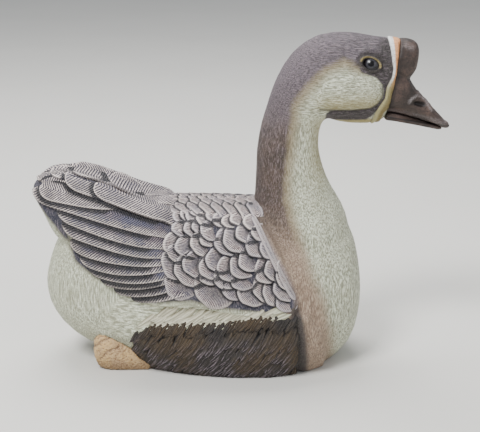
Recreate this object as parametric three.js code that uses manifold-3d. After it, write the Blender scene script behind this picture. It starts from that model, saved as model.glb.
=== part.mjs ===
// Painted garden statue of a resting goose, cast in one piece and divided here into its named parts.
// Millimetres. +X runs towards the bill, +Y to the bird's left, +Z up. The flat base is at z = 0.
import * as THREE from 'three';
import { mergeVertices } from 'three/addons/utils/BufferGeometryUtils.js';
import Module from 'manifold-3d';

const wasm = await Module();
wasm.setup();

// Driving dimensions
const GAP = 0.3; // between two neighbouring parts
const WING_RELIEF = 9; // how far the folded wing stands out from the trunk
const MANTLE_RELIEF = 6;
const THIGH_RELIEF = 7;
const WING_TO_MIDDLE = 0.5; // from each wing's inner face to the mid-plane
const EYE_RADIUS = 14;
const EYE_CENTRE = { x: 168, y: 21.5, z: 405 };
const FOOT_TO_MIDDLE = 57;
const CENTRE_SHIFT = 1.25; // brings the middle of bill tip and tail tip to x = 0
const CUTTER_SIZE = 700; // longer than the statue

// Section shapes: 2 is an ellipse, and a higher number is squarer
const ROUND = 2;
const FULL = 2.15;
const BILL_SHAPE = 2.3;
const SLAB_SHAPE = 2.6;

// Facets: around a section, and from one station to the next
const AROUND_TRUNK = 32;
const AROUND_NECK = 24;
const AROUND_SMALL = 14;
const STEPS = 2;

// A station is one section of a loft. low and high are its two ends on the mid-plane as [x, z], and
// half is its half-width across the bird.
const TRUNK = [
  { low: [-264, 100], high: [-264, 114], half: 10 },
  { low: [-258, 76], high: [-257, 142], half: 34 },
  { low: [-240, 47], high: [-240, 178], half: 57 },
  { low: [-205, 20], high: [-205, 202], half: 75 },
  { low: [-150, 3], high: [-150, 211], half: 90 },
  { low: [-80, -22], high: [-80, 214], half: 103 },
  { low: [0, -42], high: [0, 213], half: 106 },
  { low: [65, -36], high: [65, 208], half: 100 },
  { low: [112, -14], high: [112, 206], half: 86 },
  { low: [148, 18], high: [146, 186], half: 62 },
  { low: [161, 54], high: [160, 142], half: 34 },
  { low: [165, 82], high: [165, 102], half: 8 },
];
// From inside the breast up the neck, over the nape and forward to the root of the bill
const NECK_AND_HEAD = [
  { low: [150, 140], high: [32, 140], half: 76 },
  { low: [146, 188], high: [22, 188], half: 70 },
  { low: [136, 216], high: [20, 216], half: 57 },
  { low: [121, 241], high: [21, 240], half: 46 },
  { low: [110, 267], high: [22, 264], half: 40 },
  { low: [103.5, 296], high: [23, 290], half: 37 },
  { low: [106, 322], high: [28, 322], half: 36 },
  { low: [114, 334], high: [36, 350], half: 36.5 },
  { low: [126, 330.5], high: [48, 385], half: 38 },
  { low: [141, 327], high: [69, 419], half: 39.5 },
  { low: [156, 326], high: [101, 441], half: 39 },
  { low: [170, 326], high: [140, 445], half: 36 },
  { low: [181, 328], high: [172, 440], half: 31.5 },
  { low: [190, 333], high: [207, 436.5], half: 27 },
];
const BILL_UPPER = [
  { low: [184, 342], high: [192, 420], half: 27 },
  { low: [200, 340.5], high: [214, 402], half: 25.5 },
  { low: [218, 336.5], high: [225, 378], half: 22.5 },
  { low: [236, 332], high: [240, 359.5], half: 20.5 },
  { low: [252, 327.5], high: [254, 345.5], half: 18.5 },
  { low: [266, 321], high: [268, 331], half: 13.5 },
  { low: [275.5, 320.5], high: [275.5, 322.5], half: 4 },
];
const BILL_LOWER = [
  { low: [184, 332], high: [184, 341], half: 21 },
  { low: [202, 330], high: [202, 340], half: 19.5 },
  { low: [223, 326], high: [223, 334], half: 17.5 },
  { low: [243, 321.5], high: [243, 329.5], half: 15 },
  { low: [262, 317.3], high: [262, 322], half: 9 },
  { low: [267, 317], high: [267, 319], half: 3 },
];
const BILL_KNOB = [
  { low: [193, 380], high: [193, 436], half: 25 },
  { low: [207, 380], high: [207, 437.2], half: 26 },
  { low: [220, 382], high: [220, 436], half: 22 },
  { low: [228, 396], high: [229, 430.5], half: 14 },
  { low: [231, 412], high: [231.5, 421], half: 4 },
];
const TAIL = [
  { low: [-150, 120], high: [-150, 205], half: 60 },
  { low: [-215, 150], high: [-205, 222], half: 62 },
  { low: [-246, 176], high: [-232, 236], half: 57 },
  { low: [-259, 203], high: [-252, 247], half: 47 },
  { low: [-271, 223], high: [-268, 252], half: 32 },
  { low: [-278, 238], high: [-277, 244], half: 10 },
];
const FOOT = [
  { low: [-197, 18], high: [-197, 40], half: 8 },
  { low: [-191, 2], high: [-189, 57], half: 17 },
  { low: [-174, -8], high: [-172, 61], half: 19 },
  { low: [-152, -8], high: [-150, 42], half: 17 },
  { low: [-120, -8], high: [-120, 32], half: 14 },
];

// The folded wing's rear part is a slab that leans over the back: its middle line, its half-height and
// half-thickness, and the lean of its top towards the mid-plane in degrees.
const FLIGHT_SLAB = [
  { x: -99, y: 70, z: 164, height: 60, thick: 24, lean: 32 },
  { x: -135, y: 64, z: 176, height: 60, thick: 24, lean: 33 },
  { x: -175, y: 53, z: 195, height: 56, thick: 23, lean: 33 },
  { x: -212, y: 42, z: 216, height: 48, thick: 18, lean: 34 },
  { x: -240, y: 33, z: 234, height: 33, thick: 13, lean: 34 },
  { x: -258, y: 26, z: 247, height: 15, thick: 8, lean: 30 },
  { x: -264, y: 24, z: 250, height: 3, thick: 3, lean: 26 },
];
// The long inner feathers that stand above the slab, from root to tip
const TERTIALS = [
  { root: [-92, 44, 198], tip: [-198, 28, 247], wide: 34, thick: 12 },
  { root: [-104, 36, 204], tip: [-238, 27, 263], wide: 38, thick: 14 },
];
const TERTIAL_LEAN = 38;

// Outlines of the feather groups seen from the side, as [x, z]
const COVERTS_OUTLINE = [
  [72, 118], [62, 146], [50, 174], [37, 196], [20, 205], [-30, 209], [-98, 205],
  [-101, 185], [-99, 155], [-89, 130], [-70, 112], [-22, 101], [30, 92], [62, 91], [71, 100],
];
const FLIGHT_OUTLINE = [
  [-98.6, 260], [-98.6, 206], [-101.6, 185], [-99.6, 155], [-89.6, 129.7], [-70.6, 111.5], [-86, 107],
  [-111, 108], [-128, 115], [-166, 131], [-194, 153], [-216, 190], [-226, 226], [-226, 260],
];
const MANTLE_OUTLINE = [
  [30, 201], [20, 205.6], [-30, 209.6], [-98, 205.6], [-98, 260], [30, 260],
];
const THIGH_OUTLINE = [
  [-139, 30], [-142, 50], [-137, 66], [-124, 76], [-108, 81], [-63, 79], [-13, 86], [40, 90],
  [88, 92], [108, 60], [114, 20], [112, -20], [-130, -20],
];
const DEWLAP_OUTLINE = [[112, 318], [196, 318], [196, 338], [150, 340], [120, 337]];

// Thin cuts across the bird: a point [x, z] and how far the front is lifted, in degrees
const NECK_BASE_CUT = { at: [80, 214], tilt: -6 };
const NECK_MIDDLE_CUT = { at: [65, 268], tilt: -2 };
const HEAD_CUT = { at: [68, 333], tilt: -14 };
const BILL_CUT = { at: [190, 333], tilt: 81 };
const GROUND_CUT = { at: [0, -GAP / 2], tilt: 0 };

const COLOURS = {
  cream: 0xbdb89e,
  crown: 0x675a5e,
  bill: 0x463732,
  eye: 0x2a2420,
  wing: 0x746a70,
  flight: 0x59545c,
  thigh: 0x4b413c,
  foot: 0xc49a6c,
};
const MATT = 0.75;
const SATIN = 0.5;
const GLOSS = 0.2;

const vectorAt = ([x, z], y = 0) => new THREE.Vector3(x, y, z);

const splineThrough = (points) => new THREE.CatmullRomCurve3(points, false, 'catmullrom', 0.5);

// Keeps the sign and squares off a circle's sine or cosine
const squared = (value, shape) => Math.sign(value) * Math.abs(value) ** (2 / shape);

const signedVolume = (position, index) => {
  const corners = [new THREE.Vector3(), new THREE.Vector3(), new THREE.Vector3()];
  let volume = 0;
  for (let i = 0; i < index.count; i += 3) {
    corners.forEach((corner, k) => corner.fromBufferAttribute(position, index.getX(i + k)));
    volume += corners[0].dot(corners[1].clone().cross(corners[2])) / 6;
  }
  return volume;
};

// One closed body with shared corners and its faces pointing out
const closedBody = (geometry) => {
  const bare = geometry.clone();
  bare.deleteAttribute('normal');
  bare.deleteAttribute('uv');
  const body = mergeVertices(bare, 1e-3);
  if (signedVolume(body.attributes.position, body.index) < 0) {
    const turned = [];
    for (let i = 0; i < body.index.count; i += 3) {
      turned.push(body.index.getX(i), body.index.getX(i + 2), body.index.getX(i + 1));
    }
    body.setIndex(turned);
  }
  return body;
};

const pushOut = (body, distance) => {
  body.computeVertexNormals();
  const { position, normal } = body.attributes;
  for (let i = 0; i < position.count; i += 1) {
    const point = new THREE.Vector3().fromBufferAttribute(position, i);
    point.addScaledVector(new THREE.Vector3().fromBufferAttribute(normal, i), distance);
    position.setXYZ(i, point.x, point.y, point.z);
  }
};

// A solid for joining and cutting; grow swells it by a distance
const solidFrom = (geometry, grow = 0) => {
  const body = closedBody(geometry);
  if (grow > 0) {
    pushOut(body, grow);
  }
  return new wasm.Manifold(new wasm.Mesh({
    numProp: 3,
    vertProperties: new Float32Array(body.attributes.position.array),
    triVerts: new Uint32Array(body.index.array),
  }));
};

const allOf = (first, ...others) => others.reduce((solid, other) => solid.intersect(other), first);

const without = (first, ...others) => others.reduce((solid, other) => solid.subtract(other), first);

const joined = (first, ...others) => others.reduce((solid, other) => solid.add(other), first);

// A capped cylinder whose rings move onto the sections: along runs from 0 to 1, and across and up are
// the place in the round section, from -1 to 1.
const sweptCylinder = (around, rings, placePoint) => {
  const geometry = new THREE.CylinderGeometry(1, 1, 1, around, rings);
  const { position } = geometry.attributes;
  for (let i = 0; i < position.count; i += 1) {
    const point = placePoint(position.getY(i) + 0.5, position.getX(i), position.getZ(i));
    position.setXYZ(i, point.x, point.y, point.z);
  }
  return geometry;
};

const loft = (stations, { around = AROUND_SMALL, shape = ROUND, steps = STEPS, y = 0 } = {}) => {
  const low = splineThrough(stations.map((station) => vectorAt(station.low, y)));
  const high = splineThrough(stations.map((station) => vectorAt(station.high, y)));
  const halves = splineThrough(stations.map((station, i) => new THREE.Vector3(i, station.half, 0)));
  return sweptCylinder(around, (stations.length - 1) * steps, (along, across, up) => {
    const bottom = low.getPoint(along);
    const top = high.getPoint(along);
    const point = bottom.clone().lerp(top, 0.5);
    point.addScaledVector(top.sub(bottom), squared(up, shape) / 2);
    point.y += halves.getPoint(along).y * squared(across, shape);
    return point;
  });
};

const leaningSlab = (stations, side) => {
  const middle = splineThrough(stations.map(({ x, y, z }) => new THREE.Vector3(x, y, z)));
  const sizes = splineThrough(stations.map((s) => new THREE.Vector3(s.height, s.thick, s.lean)));
  return sweptCylinder(AROUND_SMALL, (stations.length - 1) * STEPS, (along, across, up) => {
    const point = middle.getPoint(along);
    const { x: height, y: thick, z: lean } = sizes.getPoint(along);
    const angle = THREE.MathUtils.degToRad(lean);
    const rise = height * squared(up, SLAB_SHAPE);
    const out = thick * squared(across, SLAB_SHAPE);
    point.y = side * (point.y + out * Math.cos(angle) - rise * Math.sin(angle));
    point.z += rise * Math.cos(angle) + out * Math.sin(angle);
    return point;
  });
};

// A long flattened egg from root to tip, leaning like the wing that it lies on
const longFeather = ({ root, tip, wide, thick }, side) => {
  const start = new THREE.Vector3(...root);
  const end = new THREE.Vector3(...tip);
  const lengthwise = start.clone().sub(end).normalize();
  const geometry = new THREE.SphereGeometry(0.5, 10, 8);
  geometry.scale(start.distanceTo(end), thick, wide);
  geometry.rotateX(THREE.MathUtils.degToRad(-TERTIAL_LEAN));
  geometry.applyQuaternion(new THREE.Quaternion().setFromUnitVectors(new THREE.Vector3(1, 0, 0), lengthwise));
  const middle = start.lerp(end, 0.5);
  geometry.translate(middle.x, middle.y, middle.z);
  geometry.scale(1, side, 1);
  return geometry;
};

// A prism that takes in one side of the bird, from inner outwards, inside an outline seen from the side
const sidePrism = (outline, side, { inner = WING_TO_MIDDLE, grow = 0 } = {}) => {
  const shape = new THREE.Shape(outline.map(([x, z]) => new THREE.Vector2(x, z)));
  const geometry = new THREE.ExtrudeGeometry(shape, { depth: CUTTER_SIZE, bevelEnabled: false });
  geometry.rotateX(Math.PI / 2);
  geometry.translate(0, side > 0 ? inner + CUTTER_SIZE : -inner, 0);
  return solidFrom(geometry, grow);
};

// All that lies past a thin cut, on its upper or its lower side
const pastCut = ({ at: [x, z], tilt }, upper) => {
  const geometry = new THREE.BoxGeometry(CUTTER_SIZE, CUTTER_SIZE, CUTTER_SIZE);
  geometry.translate(0, 0, (upper ? 1 : -1) * (CUTTER_SIZE + GAP) / 2);
  geometry.rotateY(THREE.MathUtils.degToRad(-tilt));
  geometry.translate(x, 0, z);
  return solidFrom(geometry);
};

const oneSide = (side) => {
  const geometry = new THREE.BoxGeometry(CUTTER_SIZE, CUTTER_SIZE, CUTTER_SIZE);
  geometry.translate(0, side * (CUTTER_SIZE / 2 + WING_TO_MIDDLE), 0);
  return solidFrom(geometry);
};

const trunkForm = loft(TRUNK, { around: AROUND_TRUNK, shape: FULL });
const neckForm = loft(NECK_AND_HEAD, { around: AROUND_NECK });
const knobForm = loft(BILL_KNOB, { shape: BILL_SHAPE });
const neckSolid = solidFrom(neckForm);
const aboveGround = pastCut(GROUND_CUT, true);
const aheadOfHead = pastCut(BILL_CUT, false);

const makeBody = () => allOf(
  joined(solidFrom(trunkForm), neckSolid),
  pastCut(NECK_BASE_CUT, false),
  aboveGround,
);

const makeNeck = (from, to) => allOf(neckSolid, pastCut(from, true), pastCut(to, false));

const makeEye = (side, grow = 0) => {
  const geometry = new THREE.SphereGeometry(EYE_RADIUS + grow, 12, 8);
  geometry.translate(EYE_CENTRE.x, side * EYE_CENTRE.y, EYE_CENTRE.z);
  return solidFrom(geometry);
};

const makeHeadWithDewlap = () => without(
  allOf(neckSolid, pastCut(HEAD_CUT, true), pastCut(BILL_CUT, true)),
  makeEye(1, GAP),
  makeEye(-1, GAP),
);

const dewlapSpace = (grow = 0) => sidePrism(DEWLAP_OUTLINE, 1, { inner: -CUTTER_SIZE / 2, grow });

const makeUpperBill = () => without(
  allOf(solidFrom(loft(BILL_UPPER, { shape: BILL_SHAPE })), aheadOfHead),
  solidFrom(knobForm, GAP),
);

const makeLowerBill = () => allOf(solidFrom(loft(BILL_LOWER, { shape: BILL_SHAPE, steps: 1 })), aheadOfHead);

// The space that lies on the trunk up to a relief, without the trunk and the neck
const layerOnTrunk = (relief) => without(
  solidFrom(trunkForm, relief),
  solidFrom(trunkForm, GAP),
  solidFrom(neckForm, GAP),
);

const flightForm = (side, grow = 0) => joined(
  allOf(solidFrom(trunkForm, WING_RELIEF + grow), sidePrism(FLIGHT_OUTLINE, side, { grow })),
  solidFrom(leaningSlab(FLIGHT_SLAB, side), grow),
  ...TERTIALS.map((feather) => solidFrom(longFeather(feather, side), grow)),
);

const makeFlight = (side) => without(
  allOf(flightForm(side), oneSide(side)),
  solidFrom(trunkForm, GAP),
  solidFrom(neckForm, GAP),
);

const makeCoverts = (side) => without(
  allOf(layerOnTrunk(WING_RELIEF), sidePrism(COVERTS_OUTLINE, side)),
  flightForm(side, GAP),
);

const makeMantle = () => without(
  allOf(
    layerOnTrunk(MANTLE_RELIEF),
    joined(...[1, -1].map((side) => sidePrism(MANTLE_OUTLINE, side, { inner: -1 }))),
  ),
  flightForm(1, GAP),
  flightForm(-1, GAP),
);

const makeTail = () => without(
  solidFrom(loft(TAIL, { around: 16, shape: BILL_SHAPE })),
  solidFrom(trunkForm, GAP),
  flightForm(1, GAP),
  flightForm(-1, GAP),
);

const makeThigh = (side) => allOf(layerOnTrunk(THIGH_RELIEF), sidePrism(THIGH_OUTLINE, side), aboveGround);

const makeFoot = (side) => without(
  allOf(solidFrom(loft(FOOT, { y: side * FOOT_TO_MIDDLE })), aboveGround),
  solidFrom(trunkForm, GAP),
  allOf(solidFrom(trunkForm, THIGH_RELIEF + GAP), sidePrism(THIGH_OUTLINE, side, { grow: GAP })),
);

const statue = new THREE.Group();

const addPart = (name, solid, color, roughness = MATT) => {
  const mesh = solid.getMesh();
  const geometry = new THREE.BufferGeometry();
  geometry.setAttribute('position', new THREE.BufferAttribute(mesh.vertProperties, 3));
  geometry.setIndex(new THREE.BufferAttribute(mesh.triVerts, 1));
  geometry.computeVertexNormals();
  const part = new THREE.Mesh(geometry, new THREE.MeshStandardMaterial({ color, roughness, metalness: 0 }));
  part.name = name;
  part.position.x = CENTRE_SHIFT;
  statue.add(part);
};

addPart('body', makeBody(), COLOURS.cream);
addPart('neck_lower', makeNeck(NECK_BASE_CUT, NECK_MIDDLE_CUT), COLOURS.cream);
addPart('neck_upper', makeNeck(NECK_MIDDLE_CUT, HEAD_CUT), COLOURS.cream);
addPart('head', without(makeHeadWithDewlap(), dewlapSpace(GAP)), COLOURS.cream);
addPart('dewlap', allOf(makeHeadWithDewlap(), dewlapSpace()), COLOURS.crown);
addPart('bill_upper', makeUpperBill(), COLOURS.bill, SATIN);
addPart('bill_lower', makeLowerBill(), COLOURS.bill, SATIN);
addPart('bill_knob', allOf(solidFrom(knobForm), aheadOfHead), COLOURS.bill, SATIN);
addPart('mantle', makeMantle(), COLOURS.wing);
addPart('tail', makeTail(), COLOURS.flight);

for (const [sideName, side] of Object.entries({ left: 1, right: -1 })) {
  addPart(`eye_${sideName}`, makeEye(side), COLOURS.eye, GLOSS);
  addPart(`wing_coverts_${sideName}`, makeCoverts(side), COLOURS.wing);
  addPart(`wing_flight_${sideName}`, makeFlight(side), COLOURS.flight);
  addPart(`thigh_${sideName}`, makeThigh(side), COLOURS.thigh);
  addPart(`foot_${sideName}`, makeFoot(side), COLOURS.foot);
}

export default statue;
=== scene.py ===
"""Painted garden statue of a resting domestic goose: the cast skin, its relief feathers and the paint.

Blender's lengths are metres. Tables and relief are in millimetres, and MM turns them into metres.
"""

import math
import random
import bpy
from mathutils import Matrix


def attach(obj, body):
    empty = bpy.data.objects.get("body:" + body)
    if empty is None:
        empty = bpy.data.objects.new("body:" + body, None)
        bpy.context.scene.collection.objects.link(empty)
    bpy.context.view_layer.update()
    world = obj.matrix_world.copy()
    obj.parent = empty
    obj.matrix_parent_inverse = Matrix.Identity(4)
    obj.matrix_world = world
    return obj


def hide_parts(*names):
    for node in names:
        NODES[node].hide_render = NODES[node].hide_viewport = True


bl_info = {
    "name": "Painted Garden Goose",
    "version": (1, 0, 0),
    "blender": (4, 5, 0),
    "location": "3D View > Sidebar > Goose",
    "description": "Builds a painted cast garden goose over its CAD frame",
    "category": "Add Mesh",
}

from types import SimpleNamespace

import bmesh
import bpy
import numpy as np
from bpy.props import FloatProperty, FloatVectorProperty, IntProperty, PointerProperty
from mathutils import Vector
from mathutils.bvhtree import BVHTree

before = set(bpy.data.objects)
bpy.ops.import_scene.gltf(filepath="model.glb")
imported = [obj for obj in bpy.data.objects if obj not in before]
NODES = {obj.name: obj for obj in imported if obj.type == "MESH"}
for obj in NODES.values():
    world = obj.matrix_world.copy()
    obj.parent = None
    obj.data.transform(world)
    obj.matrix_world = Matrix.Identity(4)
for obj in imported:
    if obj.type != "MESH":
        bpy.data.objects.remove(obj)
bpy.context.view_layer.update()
MM = 0.001

# Nodes that are one painted skin on the real casting; the trunk is all of them but the neck and head
UPPER = ("neck_lower", "neck_upper", "head", "dewlap")
FLESH = (
    "body", *UPPER, "mantle", "tail", "wing_coverts_left", "wing_coverts_right",
    "wing_flight_left", "wing_flight_right", "thigh_left", "thigh_right",
)
TRUNK = tuple(name for name in FLESH if name not in UPPER)
SIDES = (("right", 1), ("left", -1))  # the bird's right faces -Y; -1 mirrors a right-hand piece


# ---------- small maths
def smooth_step(low, high, value):
    t = np.clip((value - low) / (high - low), 0.0, 1.0)
    return t * t * (3.0 - 2.0 * t)


def hump(distance, width):
    """1 where the distance is 0, falling softly to 0 at one width."""
    t = np.clip(1.0 - np.abs(distance) / width, 0.0, 1.0)
    return t * t * (3.0 - 2.0 * t)


def line_side(px, pz, line):
    """Distance to a line that runs on past its two ends, plus on its left and minus on its right."""
    line = np.asarray(line, float)
    best, side, last = np.full(px.shape, 1e9), np.ones(px.shape), len(line) - 2
    for i, (a, b) in enumerate(zip(line[:-1], line[1:])):
        d = b - a
        t = ((px - a[0]) * d[0] + (pz - a[1]) * d[1]) / math.hypot(*d) ** 2
        held = np.clip(t, -1e9 if i == 0 else 0.0, 1e9 if i == last else 1.0)
        gap = np.hypot(a[0] + held * d[0] - px, a[1] + held * d[1] - pz)
        cross = d[0] * (pz - a[1]) - d[1] * (px - a[0])
        nearer = gap < best - 1e-9
        best = np.where(nearer, gap, best)
        side = np.where(nearer, np.where(cross < 0, -1.0, 1.0), side)
    return best * side


def held_distance(px, pz, line):
    """Distance to a line that stops at its two ends."""
    line = np.asarray(line, float)
    best = np.full(px.shape, 1e9)
    for a, b in zip(line[:-1], line[1:]):
        d = b - a
        t = np.clip(((px - a[0]) * d[0] + (pz - a[1]) * d[1]) / (d @ d), 0.0, 1.0)
        best = np.minimum(best, np.hypot(a[0] + t * d[0] - px, a[1] + t * d[1] - pz))
    return best


def area_distance(px, pz, area):
    """Distance to a closed outline, plus inside it."""
    ring = list(area) + [area[0]]
    inside = np.zeros(px.shape, bool)
    for (x0, z0), (x1, z1) in zip(ring[:-1], ring[1:]):
        if z0 != z1:
            inside ^= ((z0 > pz) != (z1 > pz)) & (px < (x1 - x0) * (pz - z0) / (z1 - z0) + x0)
    gap = held_distance(px, pz, ring)
    return np.where(inside, gap, -gap)


def oval_place(px, pz, oval):
    """How far out a point is in an oval, where 1 is on its edge, and its place across the oval."""
    c, s = math.cos(math.radians(oval["tilt"])), math.sin(math.radians(oval["tilt"]))
    dx, dz = px - oval["x"], pz - oval["z"]
    a, b = (dx * c + dz * s) / oval["long"], (-dx * s + dz * c) / oval["high"]
    return np.hypot(a, b), b


def spread(table, count):
    """Evenly spaced rows along a table whose first two columns are a line's points."""
    table = np.asarray(table, float)
    run = np.concatenate([[0.0], np.cumsum(np.hypot(*np.diff(table[:, :2], axis=0).T))])
    places = np.linspace(0.0, run[-1], count)
    return np.stack([np.interp(places, run, column) for column in table.T], 1)


# ---------- sizes and colours
def paint(red, green, blue):
    """A paint chip's 0-255 values as the linear colour that Blender works in."""
    return tuple(c / 3294.6 if c <= 10 else ((c / 255 + 0.055) / 1.055) ** 2.4 for c in (red, green, blue))


def colour(label, chip, note):
    return FloatVectorProperty(
        name=label, description=note, default=paint(*chip), subtype="COLOR", size=3, min=0, max=1)


def length(label, value, note):
    return FloatProperty(
        name=label, description=note, default=value, subtype="DISTANCE", unit="LENGTH", min=0.0, precision=5)


class GooseSizes(bpy.types.PropertyGroup):
    """Sizes of the relief on the casting."""

    skin_cell: length("Skin cell", 0.003, "Spacing of the skin's mesh before the head is refined")
    bill_cell: length("Bill cell", 0.0014, "Spacing of the bill's mesh")
    scallop_rise: length("Scallop rise", 0.0038, "How far a covert's free rim stands off the wing")
    barb_pitch: length("Barb pitch", 0.0023, "Spacing of the carved barbs on the coverts")
    flight_pitch: length("Flight barb pitch", 0.0036, "Spacing of the carved barbs on the flight feathers")
    lock_length: length("Thigh lock length", 0.034, "Length of one carved lock on the thigh")
    lock_pitch: length("Thigh lock pitch", 0.0078, "Spacing of the locks along the thigh")
    seed: IntProperty(name="Seed", description="Changes the small differences between feathers", default=7)


class GooseColours(bpy.types.PropertyGroup):
    """The paints on the casting."""

    cream: colour("Cream", (203, 206, 180), "Breast, cheeks and belly")
    crown: colour("Crown", (93, 83, 92), "Mauve-brown of the crown")
    nape: colour("Nape", (58, 45, 39), "Dark brown down the back of the neck")
    buff: colour("Buff", (156, 132, 112), "Brown band down the side of the breast")
    mask: colour("Mask", (38, 32, 35), "Dark skin before the eye and under the cheek")
    olive: colour("Olive", (148, 132, 74), "Yellow shade on the lids and under the cheek")
    band_white: colour("Band white", (232, 232, 230), "Rear half of the band behind the bill")
    band_orange: colour("Band orange", (226, 160, 108), "Front half of the band behind the bill")
    bill: colour("Bill", (38, 30, 25), "Dark brown of bill and knob")
    # Rubbed paint on the nostril's ridge, and painted highlight along the bill's lower edge and on the knob's
    # top
    bill_sheen: colour("Bill rubbed", (150, 142, 142), "Rubbed places on the bill")
    # Also painted shade: on the skin under the wing, on the coverts away from their rims and on the edges of
    # the vanes
    recess: colour("Recess", (34, 36, 54), "Dark wash in the grooves of the feathers")
    # Painted shadow: blue-black laid just beyond the rims of feathers that lie over others
    shadow: colour("Shadow", (22, 24, 34), "Blue-black paint under the long feathers' edges")
    feather: colour("Feather", (148, 136, 144), "Mauve-grey of the coverts")
    rim: colour("Feather rim", (246, 232, 224), "Dry-brushed rims and barbs")
    slate: colour("Slate", (82, 84, 112), "Blue-grey upper half of a flight feather")
    straw: colour("Straw", (222, 208, 182), "Dry-brushed lower half of a flight feather")
    thigh: colour("Thigh", (52, 47, 44), "Dark brown of the thigh")
    thigh_brush: colour("Thigh rubbed", (128, 116, 124), "Mauve-grey dry brush on the thigh")
    foot: colour("Foot", (194, 160, 108), "Orange-tan of the foot")
    floor: colour("Floor", (214, 212, 206), "Plain pale floor")


def sizes():
    return bpy.context.scene.goose_sizes


def paints():
    return bpy.context.scene.goose_colours


def random_of(label):
    return random.Random(f"{sizes().seed} {label}")


# ---------- mesh helpers
def new_object(name, mesh):
    thing = bpy.data.objects.new(name, mesh)
    bpy.context.scene.collection.objects.link(thing)
    mesh.shade_smooth()
    return thing


def mesh_from(bm, name):
    mesh = bpy.data.meshes.new(name)
    bm.to_mesh(mesh)
    bm.free()
    return mesh


def joined_copy(names, grow):
    """One bmesh of welded copies of CAD nodes, swollen so that the cuts between them close."""
    bm = bmesh.new()
    for name in names:
        part = bmesh.new()
        part.from_mesh(NODES[name].data)
        bmesh.ops.remove_doubles(part, verts=part.verts, dist=1e-5)
        part.normal_update()
        for v, n in [(v, v.normal.copy()) for v in part.verts]:
            v.co += n * grow
        mesh = mesh_from(part, "part")
        bm.from_mesh(mesh)
        bpy.data.meshes.remove(mesh)
    return bm


def remeshed(bm, voxel):
    """The outer surface of a bmesh as one even skin."""
    mesh = mesh_from(bm, "before")
    thing = new_object("before", mesh)
    tool = thing.modifiers.new("Even skin", "REMESH")
    tool.mode = "VOXEL"
    tool.voxel_size = voxel
    result = bpy.data.meshes.new_from_object(thing.evaluated_get(bpy.context.evaluated_depsgraph_get()))
    bpy.data.objects.remove(thing)
    bpy.data.meshes.remove(mesh)
    out = bmesh.new()
    out.from_mesh(result)
    bpy.data.meshes.remove(result)
    return out


def eased(bm, times, inside=None, factor=0.5):
    """Smooths the points inside a region, or all of them."""
    verts = [v for v in bm.verts if inside is None or inside(v.co)]
    for _ in range(times):
        bmesh.ops.smooth_vert(
            bm, verts=verts, factor=factor, use_axis_x=True, use_axis_y=True, use_axis_z=True)


def refined(bm, inside):
    """Splits the faces inside a region so that it can carry finer shape."""
    edges = [e for e in bm.edges if all(inside(v.co) for v in e.verts)]
    bmesh.ops.subdivide_edges(bm, edges=edges, cuts=1, use_grid_fill=True)


def carved(bm, relief):
    """Moves each point along its normal by the millimetres of relief at its place, never below the floor."""
    bm.normal_update()
    places = np.array([v.co[:] for v in bm.verts])
    facing = np.array([v.normal[:] for v in bm.verts])
    places += facing * (relief(*(places / MM).T) * MM)[:, None]
    places[:, 2] = np.maximum(places[:, 2], 0.0)
    for v, place in zip(bm.verts, places):
        v.co = place


def add_value(mesh, name, values):
    layer = mesh.attributes.new(name, "FLOAT", "POINT")
    layer.data.foreach_set("value", np.asarray(values, np.float32).ravel())


def add_values(mesh, values):
    for name, item in values.items():
        add_value(mesh, name, item)


def read_points(mesh, what):
    flat = np.empty(len(mesh.vertices) * 3, np.float32)
    mesh.vertices.foreach_get(what, flat)
    return flat.reshape(-1, 3).astype(float)


def fit_out(thing, material, slot, *nodes):
    """Gives a finished piece its paint and its body, and hides the nodes it stands for; the slot is not used.
    """
    thing.data.materials.append(material)
    if nodes:
        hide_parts(*nodes)
    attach(thing, "root")


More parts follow.
